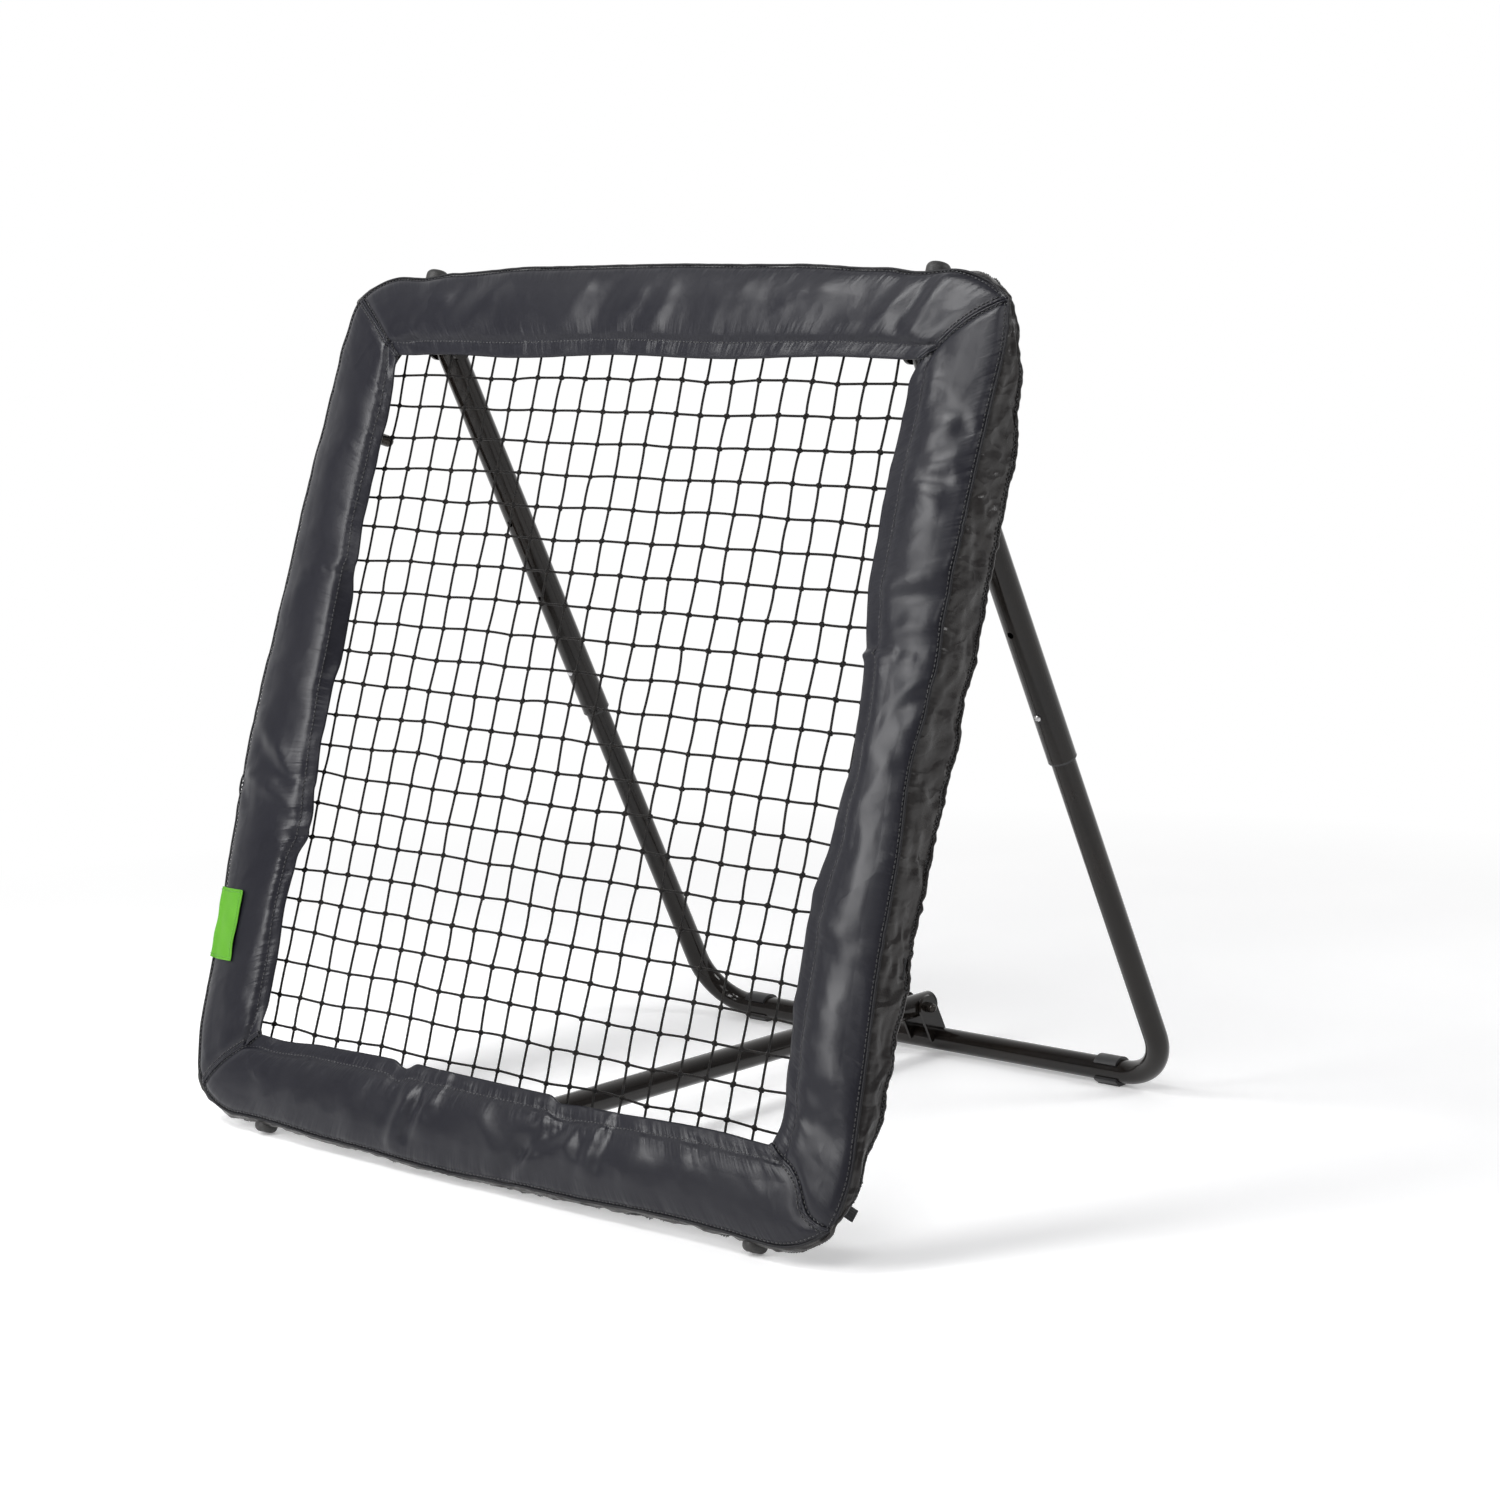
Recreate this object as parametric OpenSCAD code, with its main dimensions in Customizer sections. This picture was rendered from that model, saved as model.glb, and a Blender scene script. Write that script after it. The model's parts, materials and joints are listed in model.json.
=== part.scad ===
// Pitch back rebounder: a padded front frame with a net, a hinged rear frame with telescopic
// legs, and a telescopic strut along the ground that sets the lean of the front frame.
// Millimetres. X runs across the net, Y from the front to the rear, Z up. The origin is at the
// middle of the footprint, on the ground.

/* [Front frame] */
// Outer diameter of the front frame's tube
frame_od = 38; // [32:1:45]
// Wall of the front frame's tube
frame_wall = 1.5; // [1:0.1:2.5]
// Distance between the two upright tubes, centre to centre
frame_w = 1056; // [900:1:1300]
// Distance between the bottom and top tubes, centre to centre
frame_h = 1076; // [900:1:1300]
// Bend radius of the frame's corners, at the centre of the tube
frame_bend = 80; // [60:1:120]
// Backward lean of the front frame at rest, degrees from upright
lean = 18.8; // [12:0.1:30]
// Distance of the joint between the two frame halves below the top tube
joint_in = 151; // [120:1:500]
// Length of the thinner end that plugs into the other half
spigot_len = 60; // [30:1:90]
// Distance of the joint bolts below the joint
joint_bolt_in = 25; // [15:1:40]
// Diameter of the joint bolts
joint_bolt_d = 8; // [6:1:10]
// Length of the tall cap nuts behind the tube
cap_nut_len = 42; // [20:1:50]

/* [Feet] */
// Diameter of a rubber foot
foot_d = 30; // [24:1:40]
// Distance from the tube's centre to the foot's tip
foot_drop = 49; // [40:1:60]
// Rounding of the foot's tip
foot_round = 8; // [4:0.5:11]
// Distance between the two feet of one tube
foot_gap = 868; // [600:1:900]

/* [Net] */
// Number of gaps across the net
net_cols = 15; // [8:1:17]
// Number of gaps up the net
net_rows = 15; // [8:1:17]
// Width of a net cord
cord_w = 3; // [2:0.1:5]
// Thickness of a net cord
cord_t = 2.4; // [1.5:0.1:4]
// Width of the net's edge cord
edge_w = 6; // [4:0.5:9]
// Space between the net's edge cord and the frame's tube
net_margin = 14; // [9:1:30]
// Number of lacing loops on each side of the net
loop_n = 8; // [4:2:8]
// Thickness of the elastic lacing
loop_t = 3; // [2:0.5:5]
// Width of the elastic lacing
loop_w = 4; // [3:0.5:8]

/* [Padding] */
// Distance of the opening's side edges inside the upright tubes' centres
open_in_side = 75; // [60:1:110]
// Distance of the opening's top and bottom edges inside the cross tubes' centres
open_in_top = 76; // [60:1:110]
// Distance of the padding's outer seams outside the upright tubes' centres, at the corners
pad_out_side = 57; // [50:1:70]
// Distance of the padding's outer seams outside the cross tubes' centres
pad_out_top = 36; // [28:1:50]
// How far the straps draw the sides in at mid-height
pad_draw = 28; // [0:1:32]
// Outer corner radius of the padding
pad_corner = 115; // [90:1:140]
// Depth of the gusset behind the tubes' centre, in the middle of the sides
gusset_d = 58; // [30:1:65]
// Depth of the gusset behind the tubes' centre, along the top
gusset_top = 24; // [10:1:40]
// Depth of the gusset behind the tubes' centre, along the bottom
gusset_bottom = 2; // [0:1:4]
// Thickness of the cover
cover_t = 2.5; // [1.5:0.1:4]
// Width of the single hem round the opening
hem_w = 26; // [15:1:35]
// Wander of the hem round the opening
hem_wave = 9; // [0:1:12]
// Rise of the padding between its seams
crown = 4; // [2:0.5:8]
// Outward swell of the side gusset
gusset_swell = 10; // [4:1:14]
// Diameter of the piping cord in the outer seam
piping_d = 4; // [3:0.5:6]
// Thickness of the foam strips
foam_t = 7; // [4:0.5:9]
// Width of the straps that hold the padding to the tubes
strap_w = 25; // [15:1:40]
// Thickness of the straps
strap_t = 1.6; // [1:0.1:3]

/* [Side tag] */
// Length of the folded tag along the padding
tag_len = 96; // [60:1:120]
// Width of the tag on the front of the padding
tag_w = 42; // [20:1:60]
// Thickness of the tag
tag_t = 1; // [0.6:0.1:2]
// Height of the tag's middle above the bottom tube
tag_h = 210; // [150:1:400]

/* [Top hinge] */
// Distance of the hinge below the top tube's centre
hinge_drop = 50; // [40:1:70]
// Distance of the hinge behind the frame's plane
hinge_back = 28; // [25:1:45]
// Diameter of the hinge bolts
hinge_bolt_d = 10; // [8:1:12]
// Thickness of the welded ears
ear_t = 4; // [3:0.5:6]
// Free space on each side of a tube between its ears
ear_gap = 1; // [0.5:0.1:2]

/* [Rear legs] */
// Distance between the two legs, centre to centre
leg_gap = 828; // [600:1:860]
// Outer diameter of the upper leg tubes
upper_od = 38; // [35:1:42]
// Wall of the upper leg tubes
upper_wall = 1.5; // [1.2:0.1:2.5]
// Outer diameter of the lower leg and crossbar tube
lower_od = 32; // [25:1:34]
// Wall of the lower leg and crossbar tube
lower_wall = 1.5; // [1:0.1:2.5]
// Slope of the rear legs at rest, degrees from upright
leg_slope = 25.685; // [20:0.005:32]
// Distance from the crossbar's centre up the leg to the mouth of the upper tube
upper_mouth = 520; // [480:1:560]
// Part of an upper leg tube above the hinge
upper_top = 12; // [10:1:16]
// Bend radius between the crossbar and the legs, at the centre of the tube
lower_bend = 75; // [60:1:100]
// Distance from the crossbar's centre up the leg to the snap button
button_pos = 590; // [560:1:620]
// Distance between the length holes of the legs
hole_pitch = 122; // [80:1:130]
// Number of length holes in each leg
hole_n = 3; // [2:1:3]
// Diameter of the length holes and the hinge of the snap buttons
hole_d = 9; // [7:0.5:12]
// Overlap of the lower tube above its snap button
lower_above = 50; // [30:1:60]
// Length of the guide sleeve in the mouth of an upper tube
sleeve_len = 40; // [20:1:60]
// Thickness of the snap buttons' spring strip
spring_t = 1; // [0.6:0.1:1.5]
// Length of the snap buttons' spring strip
spring_len = 34; // [20:1:36]

/* [Ground clips] */
// Outer radius of the clip-on crossbar feet
clip_r = 20; // [19:0.5:24]
// Length of a clip along the crossbar
clip_len = 36; // [20:1:50]
// Distance between the clips, centre to centre
clip_gap = 636; // [300:1:640]
// Width of the flat sole under a clip
sole_w = 14; // [8:1:20]

/* [Strut] */
// Outer diameter of the strut's front tube
strut_od = 35; // [32:1:38]
// Outer diameter of the strut's rear tube
slide_od = 32; // [28:1:32]
// Wall of the strut's rear tube
slide_wall = 1.5; // [1:0.1:2]
// Height of the front strut bolt above the bottom tube, along the frame
front_up = 38; // [30:1:60]
// Distance of the front strut bolt behind the frame's plane
front_back = 30; // [25:1:50]
// Distance of the rear strut bolt from the crossbar's centre, up the leg
rear_up = 55; // [48:1:70]
// Diameter of the strut bolts
strut_bolt_d = 8; // [6:1:10]
// Distance between the end of the strut's front tube and the rear bolt
strut_gap = 57.5; // [50:0.5:80]
// Length of the strut's front tube ahead of its bolt
strut_nose = 16; // [12:1:20]
// Distance between the front bolt and the front end of the strut's rear tube
slide_front = 41.5; // [30:0.5:60]
// Length of the strut's rear tube behind its bolt
slide_tail = 26; // [22:1:30]
// Distance from the front bolt back to the strut's snap button
strut_button_pos = 79.5; // [70:0.5:120]
// Distance from the rear bolt forward to the stop rivet
stop_pos = 45; // [36:1:50]
// Diameter of the stop rivet's head
stop_d = 10; // [8:1:12]
// Distance from the strut's last length hole to the end of its front tube
strut_hole_end = 84.5; // [60:0.5:120]
// Number of length holes in the strut
strut_holes = 5; // [3:1:5]
// Play of the rear bolt behind its rest place in the strut's long hole
play_back = 15; // [2:0.5:18]
// Play of the rear bolt ahead of its rest place in the strut's long hole
play_front = 7; // [2:0.5:10]
// Play of the rear bolt across the strut
play_up = 6.5; // [1:0.5:8]

/* [Fits] */
// Radial clearance of a bolt or button in its hole
fit = 0.08; // [0.04:0.01:0.1]
// Gap between touching soft parts and the moving parts near them
clear = 0.4; // [0.3:0.1:1]

/* [Hidden] */
$fn = 24;

black = [0.05, 0.05, 0.055];
steel = [0.55, 0.56, 0.58];
fabric = [0.13, 0.13, 0.15];
rubber = [0.06, 0.06, 0.06];
foam_grey = [0.35, 0.35, 0.37];
green = [0.25, 0.7, 0.12];

frame_r = frame_od / 2;
frame_in = frame_r - frame_wall;
half_w = frame_w / 2;
mid_h = frame_h / 2;
foot_tip_r = foot_d / 2 - foot_round;
joint_h = frame_h - joint_in;
pad_w = frame_w + 2 * pad_out_side;
pad_h = frame_h + 2 * pad_out_top;

// Height of the bottom tube's centre, with the rounded feet on the ground
bar_z = (foot_drop - foot_round) * cos(lean) + foot_round + foot_tip_r * sin(lean);

// The hinge and strut bolts, measured from the bottom tube's centre
hinge_up = frame_h - hinge_drop;
hinge_dy = hinge_back * cos(lean) + hinge_up * sin(lean);
hinge_z = bar_z - hinge_back * sin(lean) + hinge_up * cos(lean);
leg_len = (hinge_z - clip_r) / cos(leg_slope);
cross_dy = hinge_dy + leg_len * sin(leg_slope);

// Front and rear edges of the footprint, used to centre the model on the origin
seam_y = frame_r + cover_t;
seam_drop = pad_h / 2 - mid_h + piping_d / 4;
front_dy = -seam_y * cos(lean) - seam_drop * sin(lean) - piping_d / 2;
rear_dy = cross_dy + clip_r;
bar_y = -(front_dy + rear_dy) / 2;
hinge_y = bar_y + hinge_dy;
cross_y = bar_y + cross_dy;
front_y = bar_y + front_back * cos(lean) + front_up * sin(lean);
front_z = bar_z - front_back * sin(lean) + front_up * cos(lean);
rear_y = cross_y - rear_up * sin(leg_slope);
rear_z = clip_r + rear_up * cos(leg_slope);
strut_rise = atan2(rear_z - front_z, rear_y - front_y);
strut_rest = norm([rear_y - front_y, rear_z - front_z]);

// Opening of the padding, measured from its own middle
open_hw = half_w - open_in_side;
open_hh = mid_h - open_in_top;
hem_y = frame_r + foam_t + cover_t;

// One side, the top or the bottom of the padding: half-width and half-height of the opening,
// reach and half-length of the outer seam, draw-in, gusset depth at -Z, in the middle and
// at +Z, and wander of the hem
side_panel = [open_hw, open_hh, pad_w / 2, pad_h / 2, pad_draw,
    gusset_bottom, gusset_d, gusset_top, hem_wave];
top_panel = [open_hh, open_hw, pad_h / 2, pad_w / 2, 0,
    gusset_top, gusset_top, gusset_top, hem_wave / 3];
bottom_panel = [open_hh, open_hw, pad_h / 2, pad_w / 2, 0,
    gusset_bottom, gusset_bottom, gusset_bottom, hem_wave / 3];
arc_t = 0.84;
stations = concat([-1, -0.92], [for (i = [-6 : 6]) i / 6 * arc_t], [0.92, 1]);

// Net, inside the frame's tubes
net_hw = half_w - frame_r - net_margin;
net_hh = mid_h - frame_r - net_margin;
net_r = frame_bend - frame_r - net_margin;

leg_x = leg_gap / 2;
lower_r = lower_od / 2;
lower_top = button_pos + lower_above;
slide_r = slide_od / 2;
strut_len = strut_rest - strut_gap;
strut_pitch = (strut_len - strut_button_pos - strut_hole_end) / (strut_holes - 1);
ear_r = 17;
ear_foot = 20;
ear_weld = 6;
flap_fold = 3;
bolt_head = 5.5;
nut_h = 6.5;
flange_t = 3;
saddle_t = 3;
nut_cap = 12;
foot_weld = 6;
cap_t = 2;
cap_bevel = 1;
strip_up = 8;
strip_down = 7;
strip_fold = 4;
rivet_d = 0.6 * stop_d;
eps = 0.01;

// ---- frames of reference -------------------------------------------------------------

// Front frame: X across, Z up the frame from the bottom tube, -Y towards the front
module on_frame() {
    translate([0, bar_y, bar_z])
        rotate([-lean, 0, 0])
            children();
}

// Rear frame: Z up the legs from the crossbar's centre, -Y towards the net
module on_legs() {
    translate([0, cross_y, clip_r])
        rotate([leg_slope, 0, 0])
            children();
}

// Strut: Z from the front bolt to the rear bolt, +Y down
module on_strut() {
    translate([0, front_y, front_z])
        rotate([strut_rise - 90, 0, 0])
            children();
}

// ---- shared shapes -------------------------------------------------------------------

module tube(od, wall, len) {
    difference() {
        cylinder(d = od, h = len);
        translate([0, 0, -1])
            cylinder(d = od - 2 * wall, h = len + 2, $fn = 20);
    }
}

// Quarter bend in the XZ plane: starts at [r, 0] going up and ends at [0, r]
module bend(od, wall, r) {
    rotate([90, 0, 0])
        rotate_extrude(angle = 90, $fn = 32)
            translate([r, 0])
                difference() {
                    circle(d = od);
                    circle(d = od - 2 * wall, $fn = 20);
                }
}

module hex(af, h) {
    cylinder(r = af / 2 / cos(30), h = h, $fn = 6);
}

// Bolt along X, centred, with its head on the -X side
module bolt_x(d, grip, tail) {
    rotate([0, 90, 0]) {
        translate([0, 0, -grip / 2 - bolt_head])
            hex(d * 1.6, bolt_head);
        translate([0, 0, -grip / 2 - eps])
            cylinder(d = d, h = grip + tail + eps);
    }
}

// Domed nut along X, seated on the +X side of the same grip
module nut_x(d, grip) {
    translate([grip / 2, 0, 0])
        rotate([0, 90, 0])
            difference() {
                union() {
                    hex(d * 1.6, nut_h);
                    translate([0, 0, nut_h - eps])
                        intersection() {
                            sphere(d = d * 1.5);
                            cylinder(d = d * 2, h = d);
                        }
                }
                translate([0, 0, -1])
                    cylinder(d = d, h = nut_h + 1);
            }
}

// Welded ear in the YZ plane: a round eye at the origin, its foot welded to a tube whose
// centre is at the distance reach
module ear(reach, foot_w, hole) {
    len = reach - ear_weld;
    rotate([90, 0, 90])
        linear_extrude(ear_t)
            difference() {
                union() {
                    circle(r = ear_r);
                    polygon([[-ear_r, 0], [ear_r, 0], [foot_w / 2, -len], [-foot_w / 2, -len]]);
                }
                circle(d = hole);
            }
}

// Outline round a large circle at the origin and a small one at x = -gap, with straight flanks
module belt(big, small, gap) {
    a = acos((big - small) / gap);
    circle(r = big);
    translate([-gap, 0])
        circle(r = small);
    polygon([
        [-big * cos(a), big * sin(a)],
        [-gap - small * cos(a), small * sin(a)],
        [-gap - small * cos(a), -small * sin(a)],
        [-big * cos(a), -big * sin(a)]
    ]);
}

module rounded(hw, hh, r) {
    square([2 * hw - 2 * r, 2 * hh], center = true);
    square([2 * hw, 2 * hh - 2 * r], center = true);
    for (x = [-1, 1], z = [-1, 1])
        translate([x * (hw - r), z * (hh - r)])
            circle(r = r, $fn = 16);
}

module both_sides() {
    children();
    mirror([1, 0, 0])
        children();
}

module top_and_bottom() {
    children();
    mirror([0, 0, 1])
        children();
}

// ---- front frame ---------------------------------------------------------------------

// Half of the frame: a straight tube between two bends, with the uprights' stubs
module u_half(up) {
    difference() {
        union() {
            translate([-half_w + frame_bend, 0, 0])
                rotate([0, 90, 0])
                    tube(frame_od, frame_wall, frame_w - 2 * frame_bend);
            both_sides() {
                translate([half_w - frame_bend, 0, frame_bend])
                    mirror([0, 0, 1])
                        bend(frame_od, frame_wall, frame_bend);
                translate([half_w, 0, frame_bend])
                    tube(frame_od, frame_wall, up - frame_bend);
            }
        }
        children();
    }
}

module joint_holes() {
    both_sides()
        translate([half_w, 0, joint_h - joint_bolt_in])
            rotate([90, 0, 0])
                cylinder(r = joint_bolt_d / 2 + fit, h = frame_od * 2, center = true);
}

module frame_bottom_tube() {
    color(black)
        on_frame()
            u_half(joint_h)
                joint_holes();
}

module frame_top_tube() {
    spigot_od = 2 * (frame_in - fit);
    color(black)
        on_frame() {
            translate([0, 0, frame_h])
                mirror([0, 0, 1])
                    u_half(frame_h - joint_h);
            difference() {
                both_sides()
                    translate([half_w, 0, joint_h - spigot_len])
                        difference() {
                            union() {
                                cylinder(d = spigot_od, h = spigot_len + frame_wall);
                                translate([0, 0, spigot_len])
                                    cylinder(r = frame_in + frame_wall / 2, h = 2 * frame_wall);
                            }
                            translate([0, 0, -1])
                                cylinder(d = spigot_od - 2 * frame_wall,
                                    h = spigot_len + 10, $fn = 20);
                        }
                joint_holes();
            }
        }
}

module frame_joint_bolts() {
    color(steel)
        on_frame()
            both_sides()
                translate([half_w, -frame_r, joint_h - joint_bolt_in])
                    rotate([-90, 0, 0]) {
                        translate([0, 0, -flange_t])
                            cylinder(d = joint_bolt_d * 2, h = flange_t);
                        cylinder(d = joint_bolt_d, h = frame_od + cap_nut_len - nut_cap);
                    }
}

module frame_joint_nuts() {
    nut_d = joint_bolt_d * 2;
    color(black)
        on_frame()
            both_sides()
                translate([half_w, frame_r, joint_h - joint_bolt_in])
                    rotate([-90, 0, 0])
                        difference() {
                            union() {
                                translate([0, 0, -saddle_t])
                                    cylinder(d = nut_d, h = cap_nut_len + saddle_t - nut_d / 2);
                                translate([0, 0, cap_nut_len - nut_d / 2])
                                    sphere(d = nut_d);
                            }
                            translate([0, 0, -saddle_t - 1])
                                cylinder(d = joint_bolt_d,
                                    h = cap_nut_len - nut_cap + saddle_t + 1);
                            translate([0, 0, -frame_r])
                                rotate([90, 0, 0])
                                    cylinder(r = frame_r, h = 2 * frame_od, center = true);
                        }
}

// Rubber foot: a plug with a rounded tip, saddled on the tube above it
module foot() {
    difference() {
        rotate_extrude()
            difference() {
                union() {
                    translate([0, -foot_drop])
                        square([foot_tip_r, foot_drop - frame_r + foot_weld]);
                    translate([0, -foot_drop + foot_round])
                        square([foot_d / 2, foot_drop - foot_round - frame_r + foot_weld]);
                    translate([foot_tip_r, -foot_drop + foot_round])
                        circle(r = foot_round);
                }
                translate([-foot_d, -foot_drop - 1])
                    square([foot_d, 2 * foot_drop]);
            }
        rotate([0, 90, 0])
            cylinder(d = frame_od, h = foot_d * 2, center = true);
    }
}

module bottom_feet() {
    color(rubber)
        on_frame()
            for (x = [-1, 1])
                translate([x * foot_gap / 2, 0, 0])
                    foot();
}

module top_feet() {
    color(rubber)
        on_frame()
            for (x = [-1, 1])
                translate([x * foot_gap / 2, 0, frame_h])
                    rotate([180, 0, 0])
                        foot();
}

module top_hinge_ears() {
    turn = atan2(-hinge_back, -hinge_drop);
    reach = norm([hinge_back, hinge_drop]);
    side = upper_od / 2 + ear_gap;
    color(black)
        on_frame()
            difference() {
                for (s = [-1, 1], e = [-side - ear_t, side])
                    translate([s * leg_x + e, hinge_back, hinge_up])
                        rotate([turn, 0, 0])
                            ear(reach, ear_foot, hinge_bolt_d + 2 * fit);
                translate([0, 0, frame_h])
                    rotate([0, 90, 0])
                        cylinder(d = frame_od, h = frame_w, center = true);
            }
}

module strut_front_ears() {
    turn = atan2(-front_back, front_up);
    reach = norm([front_back, front_up]);
    side = strut_od / 2 + ear_gap;
    color(black)
        on_frame()
            difference() {
                for (e = [-side - ear_t, side])
                    translate([e, front_back, front_up])
                        rotate([turn, 0, 0])
                            ear(reach, 2 * ear_r, strut_bolt_d + 2 * fit);
                rotate([0, 90, 0])
                    cylinder(d = frame_od, h = frame_w, center = true);
            }
}

// ---- net -----------------------------------------------------------------------------

// Flat mesh with a thicker edge cord, its corners following the frame's bends
module net() {
    inner_w = 2 * (net_hw - edge_w);
    inner_h = 2 * (net_hh - edge_w);
    gap_w = (inner_w - (net_cols - 1) * cord_w) / net_cols;
    gap_h = (inner_h - (net_rows - 1) * cord_w) / net_rows;
    color(black)
        on_frame()
            translate([0, cord_t / 2, mid_h])
                rotate([90, 0, 0])
                    linear_extrude(cord_t)
                        difference() {
                            rounded(net_hw, net_hh, net_r);
                            intersection() {
                                rounded(net_hw - edge_w, net_hh - edge_w, net_r - edge_w);
                                for (i = [0 : net_cols - 1], j = [0 : net_rows - 1])
                                    translate([
                                        -inner_w / 2 + i * (gap_w + cord_w),
                                        -inner_h / 2 + j * (gap_h + cord_w)
                                    ])
                                        square([gap_w, gap_h]);
                            }
                        }
}

// One elastic loop round a tube and the net's edge cord, in the XY plane
module loop() {
    big = frame_r / cos(15);
    small = 2;
    gap = frame_r + net_margin + edge_w - small;
    linear_extrude(loop_w, center = true)
        difference() {
            belt(big + loop_t, small + loop_t, gap, $fn = 12);
            belt(big, small, gap, $fn = 12);
        }
}

module net_lacing() {
    step_x = 2 * net_hw / (loop_n + 1);
    step_z = 2 * net_hh / (loop_n + 1);
    color(black)
        on_frame()
            translate([0, 0, mid_h])
                for (i = [1 : loop_n]) {
                    both_sides()
                        translate([half_w, 0, -net_hh + i * step_z])
                            loop();
                    top_and_bottom()
                        translate([-net_hw + i * step_x, 0, mid_h])
                            rotate([0, -90, 0])
                                loop();
                }
}

// ---- padding -------------------------------------------------------------------------

// Each panel of the cover is a closed skin swept along one side of the opening. In its own
// frame X points outwards, Z runs along the side (t from -1 to 1, mitre to mitre) and -Y is
// the front. On the front s runs from the stitched hem (0) to the outer seam (1), on the
// gusset from the seam (0) to the rear hem (1).

function mix(a, b, q) = a + (b - a) * q;

// Outer seam of panel p at t, pushed outwards by off
function seam(p, t, off) =
    let (
        reach = p[2] - p[4] * (1 - pow(t, 4)),
        half = p[3] - pad_corner,
        a = max(0, abs(t) - arc_t) / (1 - arc_t) * 45,
        r = pad_corner + off
    )
    abs(t) <= arc_t
        ? [reach + off, t / arc_t * half]
        : [reach - pad_corner + r * cos(a), sign(t) * (half + r * sin(a))];

// Edge of the cover at the opening
function rim(p, t) = [p[0] + p[8] * cos(90 * t) * cos(360 * t), t * p[1]];

// Point on the front, raised by off towards -Y
function on_front(p, s, t, off) =
    let (
        along = hem_w / (p[2] - p[0]),
        xz = mix(rim(p, t), seam(p, t, 0), mix(along, 1, s)),
        y = mix(hem_y, seam_y, s) + crown * (1 + 0.2 * sin(900 * t)) * sin(180 * s)
    )
    [xz[0], -y - off, xz[1]];

// Point on the gusset, pushed outwards by off
function on_gusset(p, s, t, off) =
    let (
        swell = gusset_swell * (0.9 * sin(150 * s) + 0.12 * sin(1440 * t) * s),
        depth = mix(p[6], t < 0 ? p[5] : p[7], t * t),
        xz = seam(p, t, swell + off)
    )
    [xz[0], -seam_y + s * (seam_y + depth), xz[1]];

// Turn rows of n points each into a closed skin; both ends are filled as strips
module skin(rows) {
    n = len(rows[0]);
    count = len(rows);
    sides = [for (i = [0 : count - 2], j = [0 : n - 1])
        each let (a = i * n + j, b = i * n + (j + 1) % n)
            [[a, a + n, b], [b, a + n, b + n]]];
    first = [for (j = [0 : n / 2 - 2])
        each [[j, j + 1, n - 1 - j], [j + 1, n - 2 - j, n - 1 - j]]];
    last = [for (f = first) [for (v = [f[2], f[1], f[0]]) v + (count - 1) * n]];
    polyhedron([for (r = rows) each r], concat(sides, first, last));
}

// Cover panel: flap, front and gusset outside, and the same surfaces again cover_t inside
module panel(p) {
    fronts = [for (i = [0 : 5]) i / 5];
    sides = [for (i = [1 : 4]) i / 4];
    skin([for (t = stations)
        let (e = rim(p, t))
        concat(
            [[e[0], -hem_y + flap_fold, e[1]]],
            [for (s = fronts) on_front(p, s, t, 0)],
            [for (s = sides) on_gusset(p, s, t, 0)],
            [for (i = [3 : -1 : 0]) on_gusset(p, sides[i], t, -cover_t)],
            [for (i = [5 : -1 : 0]) on_front(p, fronts[i] * 0.97, t, -cover_t)],
            [[e[0], -hem_y + flap_fold + cover_t, e[1]]]
        )]);
}

// Foam strip filling the space between the tube's front and the cover
module foam(p) {
    cuts = [0.06, 0.3, 0.55, 0.8];
    skin([for (t = stations)
        let (a = on_front(p, cuts[0], t, 0), b = on_front(p, cuts[3], t, 0))
        concat(
            [for (s = cuts) on_front(p, s, t, -cover_t - clear)],
            [for (q = [1, 0.66, 0.33, 0])
                let (c = mix(a, b, q))
                [c[0], -frame_r, c[2]]]
        )]);
}

module at_opening() {
    on_frame()
        translate([0, 0, mid_h])
            children();
}

module foot_holes() {
    for (x = [-1, 1])
        translate([x * foot_gap / 2, 0, 0])
            cylinder(d = foot_d + 2 * clear, h = frame_h);
}

module cover_right() {
    color(fabric)
        at_opening()
            panel(side_panel);
}

module cover_left() {
    color(fabric)
        at_opening()
            mirror([1, 0, 0])
                panel(side_panel);
}

module cover_top() {
    color(fabric)
        at_opening()
            difference() {
                rotate([0, -90, 0])
                    panel(top_panel);
                foot_holes();
            }
}

module cover_bottom() {
    color(fabric)
        at_opening()
            mirror([0, 0, 1])
                difference() {
                    rotate([0, -90, 0])
                        panel(bottom_panel);
                    foot_holes();
                }
}

function turned(q, k) = [
    q[0] * cos(90 * k) - q[1] * sin(90 * k),
    q[0] * sin(90 * k) + q[1] * cos(90 * k)
];

// Cord sewn into the outer seam, once round the padding
module cover_piping() {
    shift = piping_d / 4;
    path = [for (k = [0 : 3])
        each [for (i = [0 : len(stations) - 2])
            turned(seam(k % 2 == 0 ? side_panel : top_panel, stations[i], shift), k)]];
    count = len(path);
    ring = 6;
    rows = [for (i = [0 : count - 1])
        let (
            dir = path[(i + 1) % count] - path[(i + count - 1) % count],
            out = [dir[1], -dir[0]] / norm(dir) * piping_d / 2
        )
        [for (j = [0 : ring - 1])
            let (a = -j * 360 / ring)
            [path[i][0] + out[0] * cos(a),
             -seam_y + piping_d / 2 * sin(a),
             path[i][1] + out[1] * cos(a)]]];
    faces = [for (i = [0 : count - 1], j = [0 : ring - 1])
        let (
            a = i * ring + j,
            b = i * ring + (j + 1) % ring,
            c = (i + 1) % count * ring + j,
            d = (i + 1) % count * ring + (j + 1) % ring
        )
        each [[a, c, b], [b, c, d]]];
    color(fabric)
        at_opening()
            polyhedron([for (r = rows) each r], faces);
}

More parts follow.
